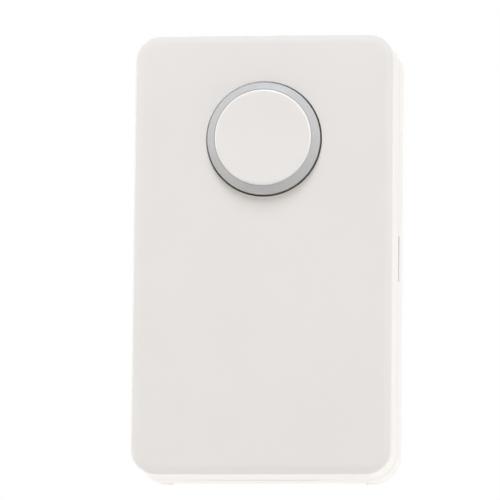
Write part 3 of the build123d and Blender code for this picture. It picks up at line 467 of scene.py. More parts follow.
def stand(name, mesh, body, slot, *nodes):
    """Stand a finished mesh in the scene as a piece of a body, in place of CAD nodes if any."""
    mesh.polygons.foreach_set("use_smooth", [True] * len(mesh.polygons))
    mesh.set_sharp_from_angle(angle=SHARP_ANGLE)
    mesh.name = name
    made = add_object(name, mesh)
    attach(made, body)
    if nodes:
        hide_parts(*nodes)
    return made


def node_tree(name, sockets):
    """A Geometry Nodes tree with named inputs; returns it, what its inputs give, and its end."""
    tree = bpy.data.node_groups.new(name, "GeometryNodeTree")
    tree.interface.new_socket("Geometry", in_out="INPUT", socket_type="NodeSocketGeometry")
    for label, kind in sockets:
        tree.interface.new_socket(label, in_out="INPUT", socket_type=kind)
    tree.interface.new_socket("Geometry", in_out="OUTPUT", socket_type="NodeSocketGeometry")
    return tree, put(tree, "NodeGroupInput").outputs, put(tree, "NodeGroupOutput")


def close_tree(tree, given, group_out, geometry):
    """End a tree: real meshes instead of instances, and their finish."""
    real = put(tree, "GeometryNodeRealizeInstances", {0: geometry})
    finished = put(tree, "GeometryNodeSetMaterial", {0: real, "Material": given["Material"]})
    wire(tree, group_out, {0: finished})


def turned_tree():
    """Turns a profile, drawn as radius and minus standoff, round an axis that points forwards."""
    tree, given, group_out = node_tree("turned_on_axis", [
        ("Lathe Radius", "NodeSocketFloat"), ("Sides", "NodeSocketInt"),
        ("Centre", "NodeSocketVector"), ("Material", "NodeSocketMaterial"),
    ])
    profile = put(tree, "GeometryNodeMeshToCurve", {0: given["Geometry"]})
    circle = put(tree, "GeometryNodeCurvePrimitiveCircle", {
        "Resolution": given["Sides"], "Radius": given["Lathe Radius"],
    })
    swept = put(tree, "GeometryNodeCurveToMesh", {0: circle, 1: profile})
    closed = put(tree, "GeometryNodeMergeByDistance", {0: swept, "Distance": 0.002 * MM})
    placed = put(tree, "GeometryNodeTransform", {
        0: closed, "Translation": given["Centre"], "Rotation": (math.pi / 2, 0, 0),
    })
    close_tree(tree, given, group_out, placed)
    return tree


def planted_tree():
    """Sets a copy of a piece on every point, sized and turned by the point's own values."""
    tree, given, group_out = node_tree("planted_on_points", [
        ("Piece", "NodeSocketObject"), ("Stray Turn", "NodeSocketFloat"),
        ("Seed", "NodeSocketInt"), ("Material", "NodeSocketMaterial"),
    ])
    piece = put(tree, "GeometryNodeObjectInfo", {"Object": given["Piece"], "As Instance": True})
    turn, size = (put(tree, "GeometryNodeInputNamedAttribute", {"Name": name}, data_type="FLOAT_VECTOR")
                  for name in ("turn", "size"))
    least = put(tree, "ShaderNodeMath", {0: given["Stray Turn"], 1: -1.0}, operation="MULTIPLY")
    stray = put(tree, "FunctionNodeRandomValue", {
        2: least, 3: given["Stray Turn"], "Seed": given["Seed"],
    }, data_type="FLOAT")
    about = put(tree, "ShaderNodeCombineXYZ", {"Y": stray.outputs[1]})
    whole = put(tree, "ShaderNodeVectorMath", {0: turn, 1: about}, operation="ADD")
    placed = put(tree, "GeometryNodeInstanceOnPoints", {
        0: given["Geometry"], "Instance": piece.outputs["Geometry"],
        "Rotation": whole, "Scale": size,
    })
    close_tree(tree, given, group_out, placed)
    return tree


def track_tree():
    """Lays a flat strip with rounded bends along each run of edges."""
    tree, given, group_out = node_tree("tracks_on_board", [
        ("Width", "NodeSocketFloat"), ("Height", "NodeSocketFloat"),
        ("Bend", "NodeSocketFloat"), ("Material", "NodeSocketMaterial"),
    ])
    route = put(tree, "GeometryNodeMeshToCurve", {0: given["Geometry"]})
    eased = put(tree, "GeometryNodeFilletCurve", {
        0: route, "Radius": given["Bend"], "Count": 3, "Limit Radius": True,
    }, mode="POLY")
    level = put(tree, "GeometryNodeSetCurveNormal", {0: eased, "Normal": (0, -1, 0)}, mode="FREE")
    strip = put(tree, "GeometryNodeCurvePrimitiveQuadrilateral", {0: given["Height"], 1: given["Width"]})
    laid = put(tree, "GeometryNodeCurveToMesh", {0: level, 1: strip, "Fill Caps": True})
    close_tree(tree, given, group_out, laid)
    return tree


def run_tree(tree, base, values):
    """Run a tree over a base mesh with its named inputs; returns the plain mesh."""
    holder = add_object("base", base)
    modifier = holder.modifiers.new("nodes", "NODES")
    modifier.node_group = tree
    for socket in tree.interface.items_tree:
        if socket.in_out == "INPUT" and socket.name in values:
            modifier[socket.identifier] = values[socket.name]
    shown = holder.evaluated_get(bpy.context.evaluated_depsgraph_get())
    mesh = bpy.data.meshes.new_from_object(shown)
    holder.modifiers.remove(modifier)
    bpy.data.objects.remove(holder)
    for attribute in ("turn", "size"):
        if attribute in mesh.attributes:
            mesh.attributes.remove(mesh.attributes[attribute])
    return mesh


def rounded(corners, steps=6):
    """Corners (radius, standoff, rounding) in mm as points with the corners eased by arcs."""
    points = []
    for i, (r, s, ease) in enumerate(corners):
        here = Vector((r, s))
        if not ease or i in (0, len(corners) - 1):
            points.append(here)
            continue
        back = (Vector(corners[i - 1][:2]) - here).normalized()
        ahead = (Vector(corners[i + 1][:2]) - here).normalized()
        half = back.angle(ahead) / 2
        hub = here + (back + ahead).normalized() * (ease / math.sin(half))
        first = here + back * (ease / math.tan(half)) - hub
        last = here + ahead * (ease / math.tan(half)) - hub
        for k in range(steps + 1):
            arm = first.slerp(last, k / steps) if k else first
            points.append(hub + arm.normalized() * ease)
    return points


def turned(points, centre, sides, material):
    """Turn points (radius, standoff) in mm, from the front's middle outwards and back, about a centre."""
    lathe = 10.0
    base = bpy.data.meshes.new("profile")
    base.from_pydata(
        [((p[0] - lathe) * MM, -p[1] * MM, 0) for p in points],
        [(i, i + 1) for i in range(len(points) - 1)], [],
    )
    return run_tree(turned_tree(), base, {
        "Lathe Radius": lathe * MM, "Sides": sides, "Centre": tuple(centre), "Material": material,
    })


def spot(place, turn=(0, 0, 0), size=(1, 1, 1)):
    """A point to plant a copy on: its place, turn and size."""
    return {"place": place, "turn": turn, "size": size}


def planted(blank, spots, material, stray=0.0, seed=1):
    """Plant copies of a blank mesh on spots; returns the joined mesh."""
    piece = add_object("blank", blank)
    base = bpy.data.meshes.new("points")
    base.from_pydata([s["place"] for s in spots], [], [])
    for name in ("turn", "size"):
        values = base.attributes.new(name, "FLOAT_VECTOR", "POINT")
        values.data.foreach_set("vector", [v for s in spots for v in s[name]])
    mesh = run_tree(planted_tree(), base, {
        "Piece": piece, "Stray Turn": stray, "Seed": seed, "Material": material,
    })
    bpy.data.objects.remove(piece)
    return mesh


def mesh_of(work, name):
    """A bmesh as a plain mesh; the bmesh is freed."""
    mesh = bpy.data.meshes.new(name)
    work.to_mesh(mesh)
    work.free()
    return mesh


def block(size, place=(0, 0, 0), ease=0.0, steps=2):
    """A box in metres with eased edges, as a mesh."""
    work = bmesh.new()
    bmesh.ops.create_cube(work, size=1.0)
    bmesh.ops.scale(work, vec=size, verts=work.verts)
    if ease:
        bmesh.ops.bevel(work, geom=work.edges[:], offset=ease, segments=steps, profile=0.5, affect="EDGES")
    bmesh.ops.translate(work, vec=place, verts=work.verts)
    return mesh_of(work, "block")


def screw_blank(head_radius, head_height, shank_radius, length, sunk):
    """One thread-forming screw in mm: its head's top at y = 0 and facing +y, its tip towards -y."""
    columns, rows_per_turn = 24, 6
    pitch = sizes().thread_pitch / MM
    if sunk:
        head = [(0.0, 0.0), (head_radius - 0.05, 0.0), (head_radius, 0.06), (head_radius, 0.12)]
    else:
        head = [(0.0, 0.0), (head_radius * 0.6, 0.02), (head_radius * 0.85, 0.12), (head_radius, 0.4),
                (head_radius, head_height - 0.06), (head_radius - 0.06, head_height)]
    core, taper = shank_radius * 0.76, length - 0.9
    # rows from the head to the tip: radius, depth, and how much of the thread's height stands there
    rows = [(r, s, 0.0) for r, s in head] + [(core, head_height, 0.0)]
    depth = head_height + 0.05
    while depth < taper:
        rows.append((core, depth, 1.0))
        depth += pitch / rows_per_turn
    rows += [(core, taper, 0.6), (core * 0.9, length - 0.5, 0.2), (core * 0.6, length - 0.12, 0.0),
             (0.0, length, 0.0)]
    work = bmesh.new()
    rings = []
    for r, s, thread in rows:
        if r == 0.0:
            rings.append([work.verts.new((0, -s * MM, 0))])
            continue
        ring = []
        for k in range(columns):
            turn = 2 * math.pi * k / columns
            phase = (s / pitch - k / columns) % 1.0
            tooth = max(0.0, 1 - abs(phase - 0.5) * 4) * thread * (shank_radius - core)
            ring.append(work.verts.new((
                (r + tooth) * MM * math.cos(turn), -s * MM, (r + tooth) * MM * math.sin(turn),
            )))
        rings.append(ring)
    for one, two in zip(rings, rings[1:]):
        for k in range(columns):
            corners = [ring[i % len(ring)] for ring, i in ((one, k), (one, k + 1), (two, k + 1), (two, k))]
            work.faces.new(list(dict.fromkeys(corners)))
    bmesh.ops.recalc_face_normals(work, faces=work.faces)
    return cross_recess(mesh_of(work, "screw"), head_radius)


def cross_recess(mesh, head_radius):
    """Cut a tapered cross into the head of a screw whose top is at y = 0."""
    work = bmesh.new()
    arm, half, above, depth, taper = head_radius * 0.62 * MM, 0.2 * MM, 0.2 * MM, 0.5 * MM, 0.55
    outline = [(arm, -half), (arm, half), (half, half)]
    while len(outline) < 12:
        x, z = outline[-3]
        outline.append((-z, x))
    top = [work.verts.new((x, above, z)) for x, z in outline]
    bottom = [work.verts.new((x * taper, -depth, z * taper)) for x, z in outline]
    work.faces.new(top)
    work.faces.new(bottom)
    for k in range(12):
        work.faces.new((top[k], top[(k + 1) % 12], bottom[(k + 1) % 12], bottom[k]))
    bmesh.ops.recalc_face_normals(work, faces=work.faces)
    return carved(mesh, mesh_of(work, "cross"))


def carved(mesh, tool_mesh):
    """The mesh with the tool's shape taken out of it."""
    tool, blank = add_object("tool", tool_mesh), add_object("blank", mesh)
    cut = blank.modifiers.new("cut", "BOOLEAN")
    cut.object = tool
    cut.operation = "DIFFERENCE"
    cut.solver = "EXACT"
    result = bpy.data.meshes.new_from_object(blank.evaluated_get(bpy.context.evaluated_depsgraph_get()))
    bpy.data.objects.remove(tool)
    bpy.data.objects.remove(blank)
    return result


def at(x, standoff, z):
    """A place in the frame, from millimetres across, off the wall and up."""
    return (x * MM, -standoff * MM, z * MM)


def middle_of(node):
    """The middle of a CAD node's box, in millimetres."""
    low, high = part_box(node)
    return (low + high) / MM / 2


# One operator for each piece or group of like pieces
class SMARTBUTTON_OT_case(bpy.types.Operator):
    """Finish the covers, the bracket and the battery door, and leave the moulds' gate marks"""

    bl_idname = "smartbutton.case"
    bl_label = "Case"

    def execute(self, context):
        plastic = abs_spark_eroded()
        dress(plastic, "front_cover", "rear_cover", "wall_bracket", "battery_door")
        size = sizes().gate_mark / MM
        high, low = 0.07, 0.03
        outline = [(0, high), (0.35 * size, high), (0.45 * size, low), (0.9 * size, low), (size, 0), (0, 0)]
        nub = turned(outline, (0, 0, 0), 24, plastic)
        behind = (math.pi, 0, 0)
        rear = -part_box("rear_cover")[1].y / MM
        spots = [spot(at(x, rear, z), behind) for x, z in ((0, 17.6), (-18.6, 38), (18.6, 38))]
        stand("gate_marks", planted(nub, spots, plastic), "housing", "abs_white")
        door_rear = -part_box("battery_door")[1].y / MM
        spots = [spot(at(0, door_rear, middle_of("battery_door").z - 3), behind)]
        stand("door_gate_mark", planted(nub, spots, plastic), "door", "abs_white")
        return {"FINISHED"}


class SMARTBUTTON_OT_button(bpy.types.Operator):
    """Turn the cap with its dished face, skirt, post and ribs, and frost the light ring"""

    bl_idname = "smartbutton.button"
    bl_label = "Button"

    def execute(self, context):
        low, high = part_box("button_cap")
        centre = axis_of("button_cap")
        radius = (high.x - low.x) / 2 / MM + 0.03
        front, skirt_end, post_end = -low.y / MM, -high.y / MM, 12.95
        rim, plate, skirt_outer, skirt_inner, post = 7.6, 1.3, 6.95, 6.0, 1.6
        dish = sizes().cap_dish / MM
        sphere = (rim**2 + dish**2) / (2 * dish)
        hollow = [Vector((r, front - dish + sphere - math.sqrt(sphere**2 - r**2))) for r in
                  [rim * k / 14 for k in range(14)]]
        seat = front - plate
        outside = rounded([
            (rim, front, 0), (radius, front, sizes().cap_edge / MM), (radius, seat, 0.08),
            (skirt_outer, seat, 0), (skirt_outer, skirt_end, 0.15), (skirt_inner, skirt_end, 0.15),
            (skirt_inner, seat, 0), (post, seat, 0), (post, post_end, 0.2), (0, post_end, 0),
        ])
        plastic = abs_fine_satin()
        mesh = turned(hollow + outside, centre, sizes().cap_sides, plastic)
        stand("button_cap_turned", mesh, "button", "abs_white", "button_cap")
        rib_height, rib_width = 1.5, 0.8
        rib = block(
            ((skirt_inner - post) * MM, rib_height * MM, rib_width * MM),
            ((skirt_inner + post) / 2 * MM, 0, 0), 0.08 * MM,
        )
        place = centre + Vector(at(0, seat - 0.7, 0))
        ribs = planted(rib, [spot(place, (0, math.pi / 2 * k, 0)) for k in range(4)], plastic)
        stand("cap_ribs", ribs, "button", "abs_white")
        self.turn_ring(centre)
        return {"FINISHED"}

    def turn_ring(self, centre):
        """The light ring: an upright wall, a frosted slope up to the cap, and a keyed flange."""
        low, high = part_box("light_ring")
        flange, rear, lip = high.x / MM, -high.y / MM, -low.y / MM
        bore, cap_hole, rim, wall, seat = 7.0, 8.4, 8.5, 9.75, 15.8
        face, flange_front = lip - 1.85, rear + 1
        finish = frosted_polycarbonate()
        ring = turned(rounded([
            (bore, seat, 0), (cap_hole, seat, 0), (cap_hole, lip, 0), (rim, lip, 0.04),
            (wall, face + sizes().ring_wall / MM, 0.35), (wall, flange_front, 0),
            (flange, flange_front, 0.1), (flange, rear, 0.1), (bore, rear, 0), (bore, seat, 0),
        ]), centre, sizes().cap_sides, finish)
        notch_width, notch_depth = 2.2, 1.4
        notch = block((notch_width * MM, notch_depth * MM, notch_width * MM))
        spots = []
        for turn in (0, math.radians(120), math.radians(240)):
            place = at(flange * math.sin(turn), rear + 0.5, flange * math.cos(turn))
            spots.append(spot(centre + Vector(place), (0, turn, 0)))
        ring = carved(ring, planted(notch, spots, finish))
        stand("light_ring_turned", ring, "button", "polycarbonate_frosted", "light_ring")


class SMARTBUTTON_OT_screws(bpy.types.Operator):
    """Plant the threaded, cross-recessed screws of the board and of the battery door"""

    bl_idname = "smartbutton.screws"
    bl_label = "Screws"

    def execute(self, context):
        low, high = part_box("board_screws")
        head = 1.5
        columns = (low.x + head * MM, high.x - head * MM)
        self.plant_set("board_screws", "housing", head, 0.8, False, columns, 4)
        low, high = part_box("door_screws")
        head = (high.x - low.x) / 2 / MM
        self.plant_set("door_screws", "door", head, 0.9, True, (axis_of("door_screws").x,), 9)
        return {"FINISHED"}

    def plant_set(self, node, body, head, shank, sunk, columns, seed):
        """Like screws in place of a node: one at the foot and one at the top of each column."""
        low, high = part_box(node)
        blank = screw_blank(head, 1.0, shank, (high.y - low.y) / MM, sunk)
        spots = [spot((x, high.y, z)) for x in columns for z in (low.z + head * MM, high.z - head * MM)]
        mesh = planted(blank, spots, steel_zinc_plated(), math.pi, seed)
        stand(node + "_threaded", mesh, body, "steel_plated", node)


class SMARTBUTTON_OT_board(bpy.types.Operator):
    """Finish the circuit board and lay its tracks, vias and solder joints"""

    bl_idname = "smartbutton.board"
    bl_label = "Circuit board"

    def execute(self, context):
        dress(glass_epoxy_masked(), "circuit_board")
        front = -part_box("circuit_board")[0].y / MM
        routes = [
            [(-3.9, 41.1), (-8.0, 45.2), (-12.5, 45.2), (-12.5, 6.0)],
            [(-3.9, 36.7), (-10.5, 30.1), (-10.5, 6.0)],
            [(3.9, 41.1), (9.6, 46.8), (14.6, 46.8), (16.6, 44.8), (16.6, 5.0)],
            [(3.9, 36.7), (8.4, 32.2), (8.4, 21.1), (8.9, 20.6), (8.9, 14.1), (5.6, 14.1)],
            [(-6.2, 31.4), (-6.2, 22.0), (-5.6, 21.4), (-5.6, 16.1)],
            [(6.9, 31.4), (6.9, 19.1), (5.6, 17.8), (5.6, 16.1)],
            [(-5.6, 12.1), (-8.2, 12.1), (-9.4, 10.9), (-9.4, 4.2)],
            [(-5.6, 6.1), (-8.4, 6.1), (-9.2, 5.3), (-9.2, 1.6)],
            [(5.6, 10.1), (8.0, 10.1), (9.0, 9.1), (9.0, 2.8), (10.4, 2.8)],
            [(5.6, 6.1), (8.3, 6.1), (8.3, 0.6), (10.4, 0.6)],
            [(5.6, 4.1), (7.6, 4.1), (7.6, -1.6), (10.4, -1.6)],
            [(-5.6, 4.1), (-7.8, 1.9), (-7.8, -4.0), (-4.5, -7.3), (-4.5, -9.2)],
            [(0.0, 1.2), (0.0, -4.5), (3.6, -8.1), (3.6, -9.2)],
            [(-12.5, -2.6), (-12.5, -6.8), (-10.0, -9.3)],
            [(12.8, -3.0), (12.8, -6.6), (10.1, -9.3)],
            [(16.0, -1.6), (17.0, -2.6), (17.0, -8.8)],
        ]
        lift, height, bend = 0.012, 0.035, 0.5
        verts = [at(x, front + lift, z) for run in routes for x, z in run]
        edges, start = [], 0
        for run in routes:
            edges += [(start + k, start + k + 1) for k in range(len(run) - 1)]
            start += len(run)
        base = bpy.data.meshes.new("routes")
        base.from_pydata(verts, edges, [])
        tracks = run_tree(track_tree(), base, {
            "Width": sizes().track_width, "Height": height * MM, "Bend": bend * MM,
            "Material": copper_under_mask(),
        })
        stand("board_tracks", tracks, "housing", "circuit_board_green")
        self.plant_vias(front, routes)
        self.plant_joints(front)
        return {"FINISHED"}

    def plant_vias(self, front, routes):
        """Tinned rings at the ends of the tracks and stitched along the ground area."""
        chance = random.Random(17)
        outline = [(0.12, 0.03), (0.3, 0.03), (0.3, -0.01), (0.12, -0.01), (0.12, 0.03)]
        ring = turned(outline, (0, 0, 0), 12, solder_tin())
        places = [run[-1] for run in routes]
        places += [(x, -11.0 + chance.uniform(-0.1, 0.1)) for x in range(-12, 13, 3)]
        places += [(side * 18.0, z) for side in (-1, 1) for z in range(-8, 46, 6)]
        spots = [spot(at(x, front + 0.02, z)) for x, z in places]
        stand("board_vias", planted(ring, spots, solder_tin()), "housing", "steel_plated")

    def plant_joints(self, front):
        """A pillow of solder at the foot of every lead, pad and chip end."""
        profile = rounded([(0, 0.32, 0), (0.3, 0.3, 0.1), (0.42, 0.1, 0.08), (0.6, 0, 0), (0, 0, 0)], 3)
        pillow = turned(profile, (0, 0, 0), 16, solder_tin())
        feet = []
        for node, pitch, up in (("chip_capacitors", 2.6, 1.3), ("chip_resistors", 2.2, 1.15)):
            chips = middle_of(node)
            feet += [(chips.x + column * 1.6 + end * 0.95, chips.z + row * pitch, 0.75, up)
                     for column in (-1, 1) for row in (-1, 0, 1) for end in (-1, 1)]
        switch = middle_of("switch_terminals")
        feet += [(switch.x + sx * 4.1, switch.z + sz * 2.25, 1.0, 1.0) for sx in (-1, 1) for sz in (-1, 1)]
        module = middle_of("radio_module")
        feet += [(module.x + sx * 6.55, module.z + 2 * k, 0.6, 0.8) for sx in (-1, 1) for k in range(-3, 4)]
        tank = middle_of("reservoir_capacitor")
        feet += [(tank.x, tank.z + sz * 3.75, 2.2, 0.9) for sz in (-1, 1)]
        spots = [spot(at(x, front, z), size=(across, 1, up)) for x, z, across, up in feet]
        stand("solder_joints", planted(pillow, spots, solder_tin()), "housing", "steel_plated")


class SMARTBUTTON_OT_chips(bpy.types.Operator):
    """Plant the chip capacitors and resistors with their plated ends"""

    bl_idname = "smartbutton.chips"
    bl_label = "Chips"

    def execute(self, context):
        self.plant_group("chip_capacitors", 3.2, 2.6, 0.9, ceramic_fired(), "chip_tan")
        self.plant_group("chip_resistors", 3.2, 2.2, 0.5, resistor_glaze(), "chip_black")
        return {"FINISHED"}

    def plant_group(self, node, pitch_x, pitch_z, height, finish, slot):
        """Three rows of two chips in place of a node, each a glazed body between two plated ends."""
        low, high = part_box(node)
        middle = (low + high) / 2
        middle.y = high.y - height / 2 * MM
        places = [
            middle + Vector((x * pitch_x / 2, 0, z * pitch_z)) * MM for x in (-1, 1) for z in (-1, 0, 1)
        ]
        body = block((1.9 * MM, (height - 0.03) * MM, 1.2 * MM), (0, 0, 0), 0.04 * MM)
        bodies = planted(body, [spot(place) for place in places], finish)
        stand(node + "_bodies", bodies, "housing", slot, node)
        end = block((0.42 * MM, height * MM, 1.25 * MM), (0, 0, 0), 0.08 * MM, 3)
        spots = [spot(place + Vector((side * 0.8 * MM, 0, 0))) for place in places for side in (-1, 1)]
        stand(node + "_ends", planted(end, spots, solder_tin()), "housing", "steel_plated")


class SMARTBUTTON_OT_switch(bpy.types.Operator):
    """Finish the switch, the return collar, the reflector and the lamps"""

    bl_idname = "smartbutton.switch"
    bl_label = "Switch and lamps"

    def execute(self, context):
        dress(nylon_glass_filled(), "switch_base")
        dress(acetal_grey(), "switch_plunger")
        dress(nickel_strip(), "switch_terminals")
        dress(polished_polycarbonate(), "led_reflector")
        dress(lamp_epoxy(), "status_leds")
        self.turn_collar()
        self.turn_dome()
        return {"FINISHED"}

    def turn_collar(self):
        """The silicone collar: a foot on the board, a thin web that buckles, and a head under the cap."""
        low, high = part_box("return_collar")
        centre = axis_of("return_collar")
        outer, front, foot = (high.x - low.x) / 2 / MM, -low.y / MM, -high.y / MM
        head, wall, web, sole, bend = 0.9, 0.8, 0.5, 0.75, 2.3
        mesh = turned(rounded([
            (outer - wall, front, 0), (outer, front, 0.12), (outer, front - head, 0),
            (outer, foot, 0.1), (outer - sole, foot, 0.1), (outer - sole, foot + wall, 0.1),
            (outer - web, foot + wall, 0.1), (outer - web, foot + bend, 0.1),
            (outer - wall, front - head, 0.1), (outer - wall, front, 0),
        ], 3), centre, 96, silicone_pressed())
        collar = stand("return_collar_turned", mesh, "housing", "silicone_clear", "return_collar")
        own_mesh(collar)

    def turn_dome(self):
        """The snap dome: a thin sprung cap on the switch's floor, which goes almost flat when pressed."""
        low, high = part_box("switch_dome")
        centre = axis_of("switch_dome")
        floor, gauge, points = -high.y / MM, 0.12, []
        for inset, order in ((0, range(9)), (gauge, range(8, -1, -1))):
            reach, rise = (high.x - low.x) / 2 / MM - inset, (high.y - low.y) / MM - inset
            ball = (reach**2 + rise**2) / (2 * rise)
            for k in order:
                r = reach * k / 8
                points.append((r, floor + rise - ball + math.sqrt(ball**2 - r**2)))
        dome = stand("switch_dome_turned", turned(points, centre, 64, nickel_strip()), "housing",
                     "contact_nickel", "switch_dome")
        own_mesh(dome)


class SMARTBUTTON_OT_radio(bpy.types.Operator):
    """Finish the radio, its shield and antenna, the crystal and the reservoir capacitor"""

    bl_idname = "smartbutton.radio"
    bl_label = "Radio"

    def execute(self, context):
        dress(glass_epoxy_masked(), "radio_module")
        dress(steel_tinned(), "radio_shield", "crystal")
        dress(nickel_strip(), "antenna")
        dress(tantalum_resin(), "reservoir_capacitor")
        return {"FINISHED"}


class SMARTBUTTON_OT_battery(bpy.types.Operator):
    """Finish the holder, its contacts, the cell with its sealing ring, and the foam pad"""

    bl_idname = "smartbutton.battery"
    bl_label = "Battery"

    def execute(self, context):
        dress(nylon_glass_filled(), "battery_holder")
        dress(nickel_strip(), "positive_contact", "negative_contact")
        dress(stainless_turned(), "coin_cell")
        self.cut_pad()
        inner, top, foot = 8.9, 9.3, 9.45
        step = -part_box("coin_cell")[0].y / MM - 0.7
        crown, sunk = step + 0.12, step - 0.02
        seal = turned(rounded([
            (inner, crown, 0), (top, crown, 0.08), (foot, sunk, 0), (inner, sunk, 0), (inner, crown, 0),
        ], 3), axis_of("coin_cell"), 96, nylon_glass_filled())
        stand("cell_sealing_ring", seal, "cell", "nylon_black")
        return {"FINISHED"}

    def cut_pad(self):
        """The foam pad inside the door: die-cut with round corners, its rims pressed round by the cell."""
        low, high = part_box("cell_pad")
        work = bmesh.new()
        bmesh.ops.create_cube(work, size=1.0)
        bmesh.ops.scale(work, vec=high - low, verts=work.verts)
        for upright, offset, steps in ((True, 1.0, 5), (False, 0.3, 3)):
            edges = [e for e in work.edges
                     if (abs(e.verts[0].co.y - e.verts[1].co.y) > 0.1 * MM) == upright]
            bmesh.ops.bevel(
                work, geom=edges, offset=offset * MM, segments=steps, profile=0.5, affect="EDGES"
            )
        bmesh.ops.translate(work, vec=(low + high) / 2, verts=work.verts)
        mesh = mesh_of(work, "pad")
        mesh.materials.append(foam_open_cell())
        pad = stand("cell_pad_foam", mesh, "door", "foam_grey", "cell_pad")


class SMARTBUTTON_OT_stage(bpy.types.Operator):
    """Add the floor, the soft lights, the world and the camera"""

    bl_idname = "smartbutton.stage"
    bl_label = "Stage"

    def execute(self, context):
        scene = context.scene
        scene.view_settings.view_transform = "Standard"
        make_floor()
        make_lights()
        make_world(scene)
        make_camera(scene)
        return {"FINISHED"}


FLOOR_DROP = 0.30
FLOOR_SIZE = 6.0

SOFTBOXES = (
    # name, place from the object's middle, width and height, power in watts, colour, mirrored by gloss
    ("softbox_top", (0.0, -0.5, 0.81), 0.5, 0.4, 7.0, 0xE6F0FF, True),
    ("softbox_right", (0.8, -0.01, 0.0), 0.2, 0.4, 2.6, 0xEEF4FF, False),
    ("softbox_left", (-0.8, -0.01, 0.0), 0.2, 0.4, 2.3, 0xF8F8FF, False),
    ("softbox_low", (0.0, 0.05, -0.31), 0.2, 0.3, 0.33, 0xF6F9FF, False),
)


def make_floor():
    """A plain pale floor, well below the object, which hangs on a wall."""
    low = cad_box[0].z - FLOOR_DROP
    half = FLOOR_SIZE / 2
    mesh = bpy.data.meshes.new("floor")
    corners = [(-half, -half, low), (half, -half, low), (half, half, low), (-half, half, low)]
    mesh.from_pydata(corners, [], [(0, 1, 2, 3)])
    floor = add_object("floor", mesh)
    material = bpy.data.materials.new("painted_floor")
    material.use_nodes = True
    wire(material.node_tree, shader_of(material), {"Base Color": colours().floor, "Roughness": 0.9})
    mesh.materials.append(material)


def make_lights():
    """A cool key from above, which gloss mirrors, and weak lamps beside and below that lift the edges."""
    middle = (cad_box[0] + cad_box[1]) / 2
    for name, place, width, height, power, colour, mirrored in SOFTBOXES:
        data = bpy.data.lights.new(name, "AREA")
        data.shape = "RECTANGLE"
        data.size, data.size_y = width, height
        data.energy = power
        data.color = linear(colour)[:3]
        light = add_object(name, data)
        light.location = middle + Vector(place)
        light.rotation_euler = (middle - light.location).to_track_quat("-Z", "Y").to_euler()
        light.visible_camera = False
        light.visible_glossy = mirrored


def make_world(scene):
    """A white tent: brightest from the sides, weak in front and behind, and open above for the key."""
    world = bpy.data.worlds.new("white_tent")
    scene.world = world
    world.use_nodes = True
    tree = world.node_tree
    tree.nodes.clear()
    place = put(tree, "ShaderNodeTexCoord")
    split = put(tree, "ShaderNodeSeparateXYZ", {0: place.outputs["Generated"]})
    depth = split.outputs["Y"]
    square = put(tree, "ShaderNodeMath", {0: depth, 1: depth}, operation="MULTIPLY")
    wall = put(tree, "ShaderNodeMapRange", {"Value": square, "To Min": 0.85, "To Max": 0.17})
    roof = put(tree, "ShaderNodeMapRange", {"Value": split.outputs["Z"], "To Min": 1.0, "To Max": 0.6})
    tent = put(tree, "ShaderNodeMath", {0: wall, 1: roof}, operation="MULTIPLY")
    lit = put(tree, "ShaderNodeBackground", {"Color": linear(0xFFFCF8), "Strength": tent})
    seen = put(tree, "ShaderNodeBackground", {"Color": linear(0xFFFFFF), "Strength": 1.0})
    path = put(tree, "ShaderNodeLightPath")
    shown = path.outputs["Is Camera Ray"]
    for ray in ("Is Glossy Ray", "Is Transmission Ray"):
        also = path.outputs[ray]
        shown = put(tree, "ShaderNodeMath", {0: shown, 1: also}, operation="ADD", use_clamp=True)
    mix = put(tree, "ShaderNodeMixShader", {0: shown, 1: lit, 2: seen})
    put(tree, "ShaderNodeOutputWorld", {"Surface": mix})


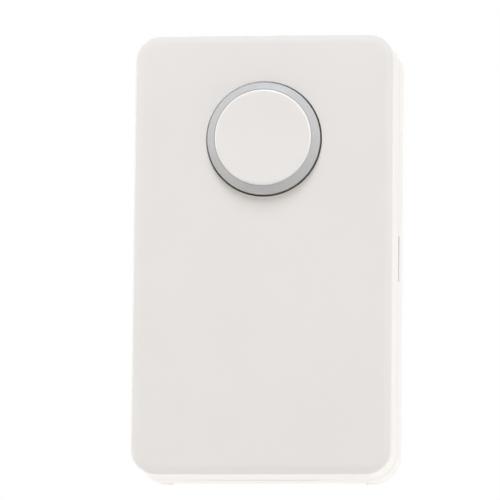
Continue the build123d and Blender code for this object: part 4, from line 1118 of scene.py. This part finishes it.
def make_camera(scene):
    """Below the middle and a little to the right, far off with a long lens."""
    view = scene.smart_button_view
    front_low, front_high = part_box("front_cover")
    middle = (front_low + front_high) / 2
    aim = Vector((middle.x + view.aim_x, -view.aim_depth, middle.z + view.aim_z))
    az, el, roll = view.azimuth, view.elevation, view.roll
    back = Vector((math.sin(az) * math.cos(el), -math.cos(az) * math.cos(el), math.sin(el)))
    right = Vector((math.cos(az), math.sin(az), 0))
    up = right.cross(-back)
    turned_right = math.cos(roll) * right + math.sin(roll) * up
    turned_up = -math.sin(roll) * right + math.cos(roll) * up
    data = bpy.data.cameras.new("camera")
    data.sensor_width = 36
    data.lens = view.lens
    data.clip_start = 0.05
    data.clip_end = 20
    camera = add_object("camera", data)
    turn = Matrix((turned_right, turned_up, back)).transposed().to_4x4()
    camera.matrix_world = Matrix.Translation(aim + back * view.distance) @ turn
    scene.camera = camera


PIECES = (
    SMARTBUTTON_OT_case, SMARTBUTTON_OT_button, SMARTBUTTON_OT_screws, SMARTBUTTON_OT_board,
    SMARTBUTTON_OT_chips, SMARTBUTTON_OT_switch, SMARTBUTTON_OT_radio, SMARTBUTTON_OT_battery,
    SMARTBUTTON_OT_stage,
)


class SMARTBUTTON_PT_panel(bpy.types.Panel):
    """Lists the pieces and the stage"""

    bl_idname = "SMARTBUTTON_PT_panel"
    bl_label = "Smart button"
    bl_space_type = "VIEW_3D"
    bl_region_type = "UI"
    bl_category = "Smart button"

    def draw(self, context):
        for operator in PIECES:
            self.layout.operator(operator.bl_idname)


CLASSES = (SmartButtonColours, SmartButtonSizes, SmartButtonView, *PIECES, SMARTBUTTON_PT_panel)


def register():
    for cls in CLASSES:
        bpy.utils.register_class(cls)
    bpy.types.Scene.smart_button_colours = PointerProperty(type=SmartButtonColours)
    bpy.types.Scene.smart_button_sizes = PointerProperty(type=SmartButtonSizes)
    bpy.types.Scene.smart_button_view = PointerProperty(type=SmartButtonView)


def unregister():
    del bpy.types.Scene.smart_button_view
    del bpy.types.Scene.smart_button_sizes
    del bpy.types.Scene.smart_button_colours
    for cls in reversed(CLASSES):
        bpy.utils.unregister_class(cls)


def main():
    register()
    bpy.ops.smartbutton.case()
    bpy.ops.smartbutton.button()
    bpy.ops.smartbutton.screws()
    bpy.ops.smartbutton.board()
    bpy.ops.smartbutton.chips()
    bpy.ops.smartbutton.switch()
    bpy.ops.smartbutton.radio()
    bpy.ops.smartbutton.battery()
    bpy.ops.smartbutton.stage()


if __name__ == "__main__":
    main()
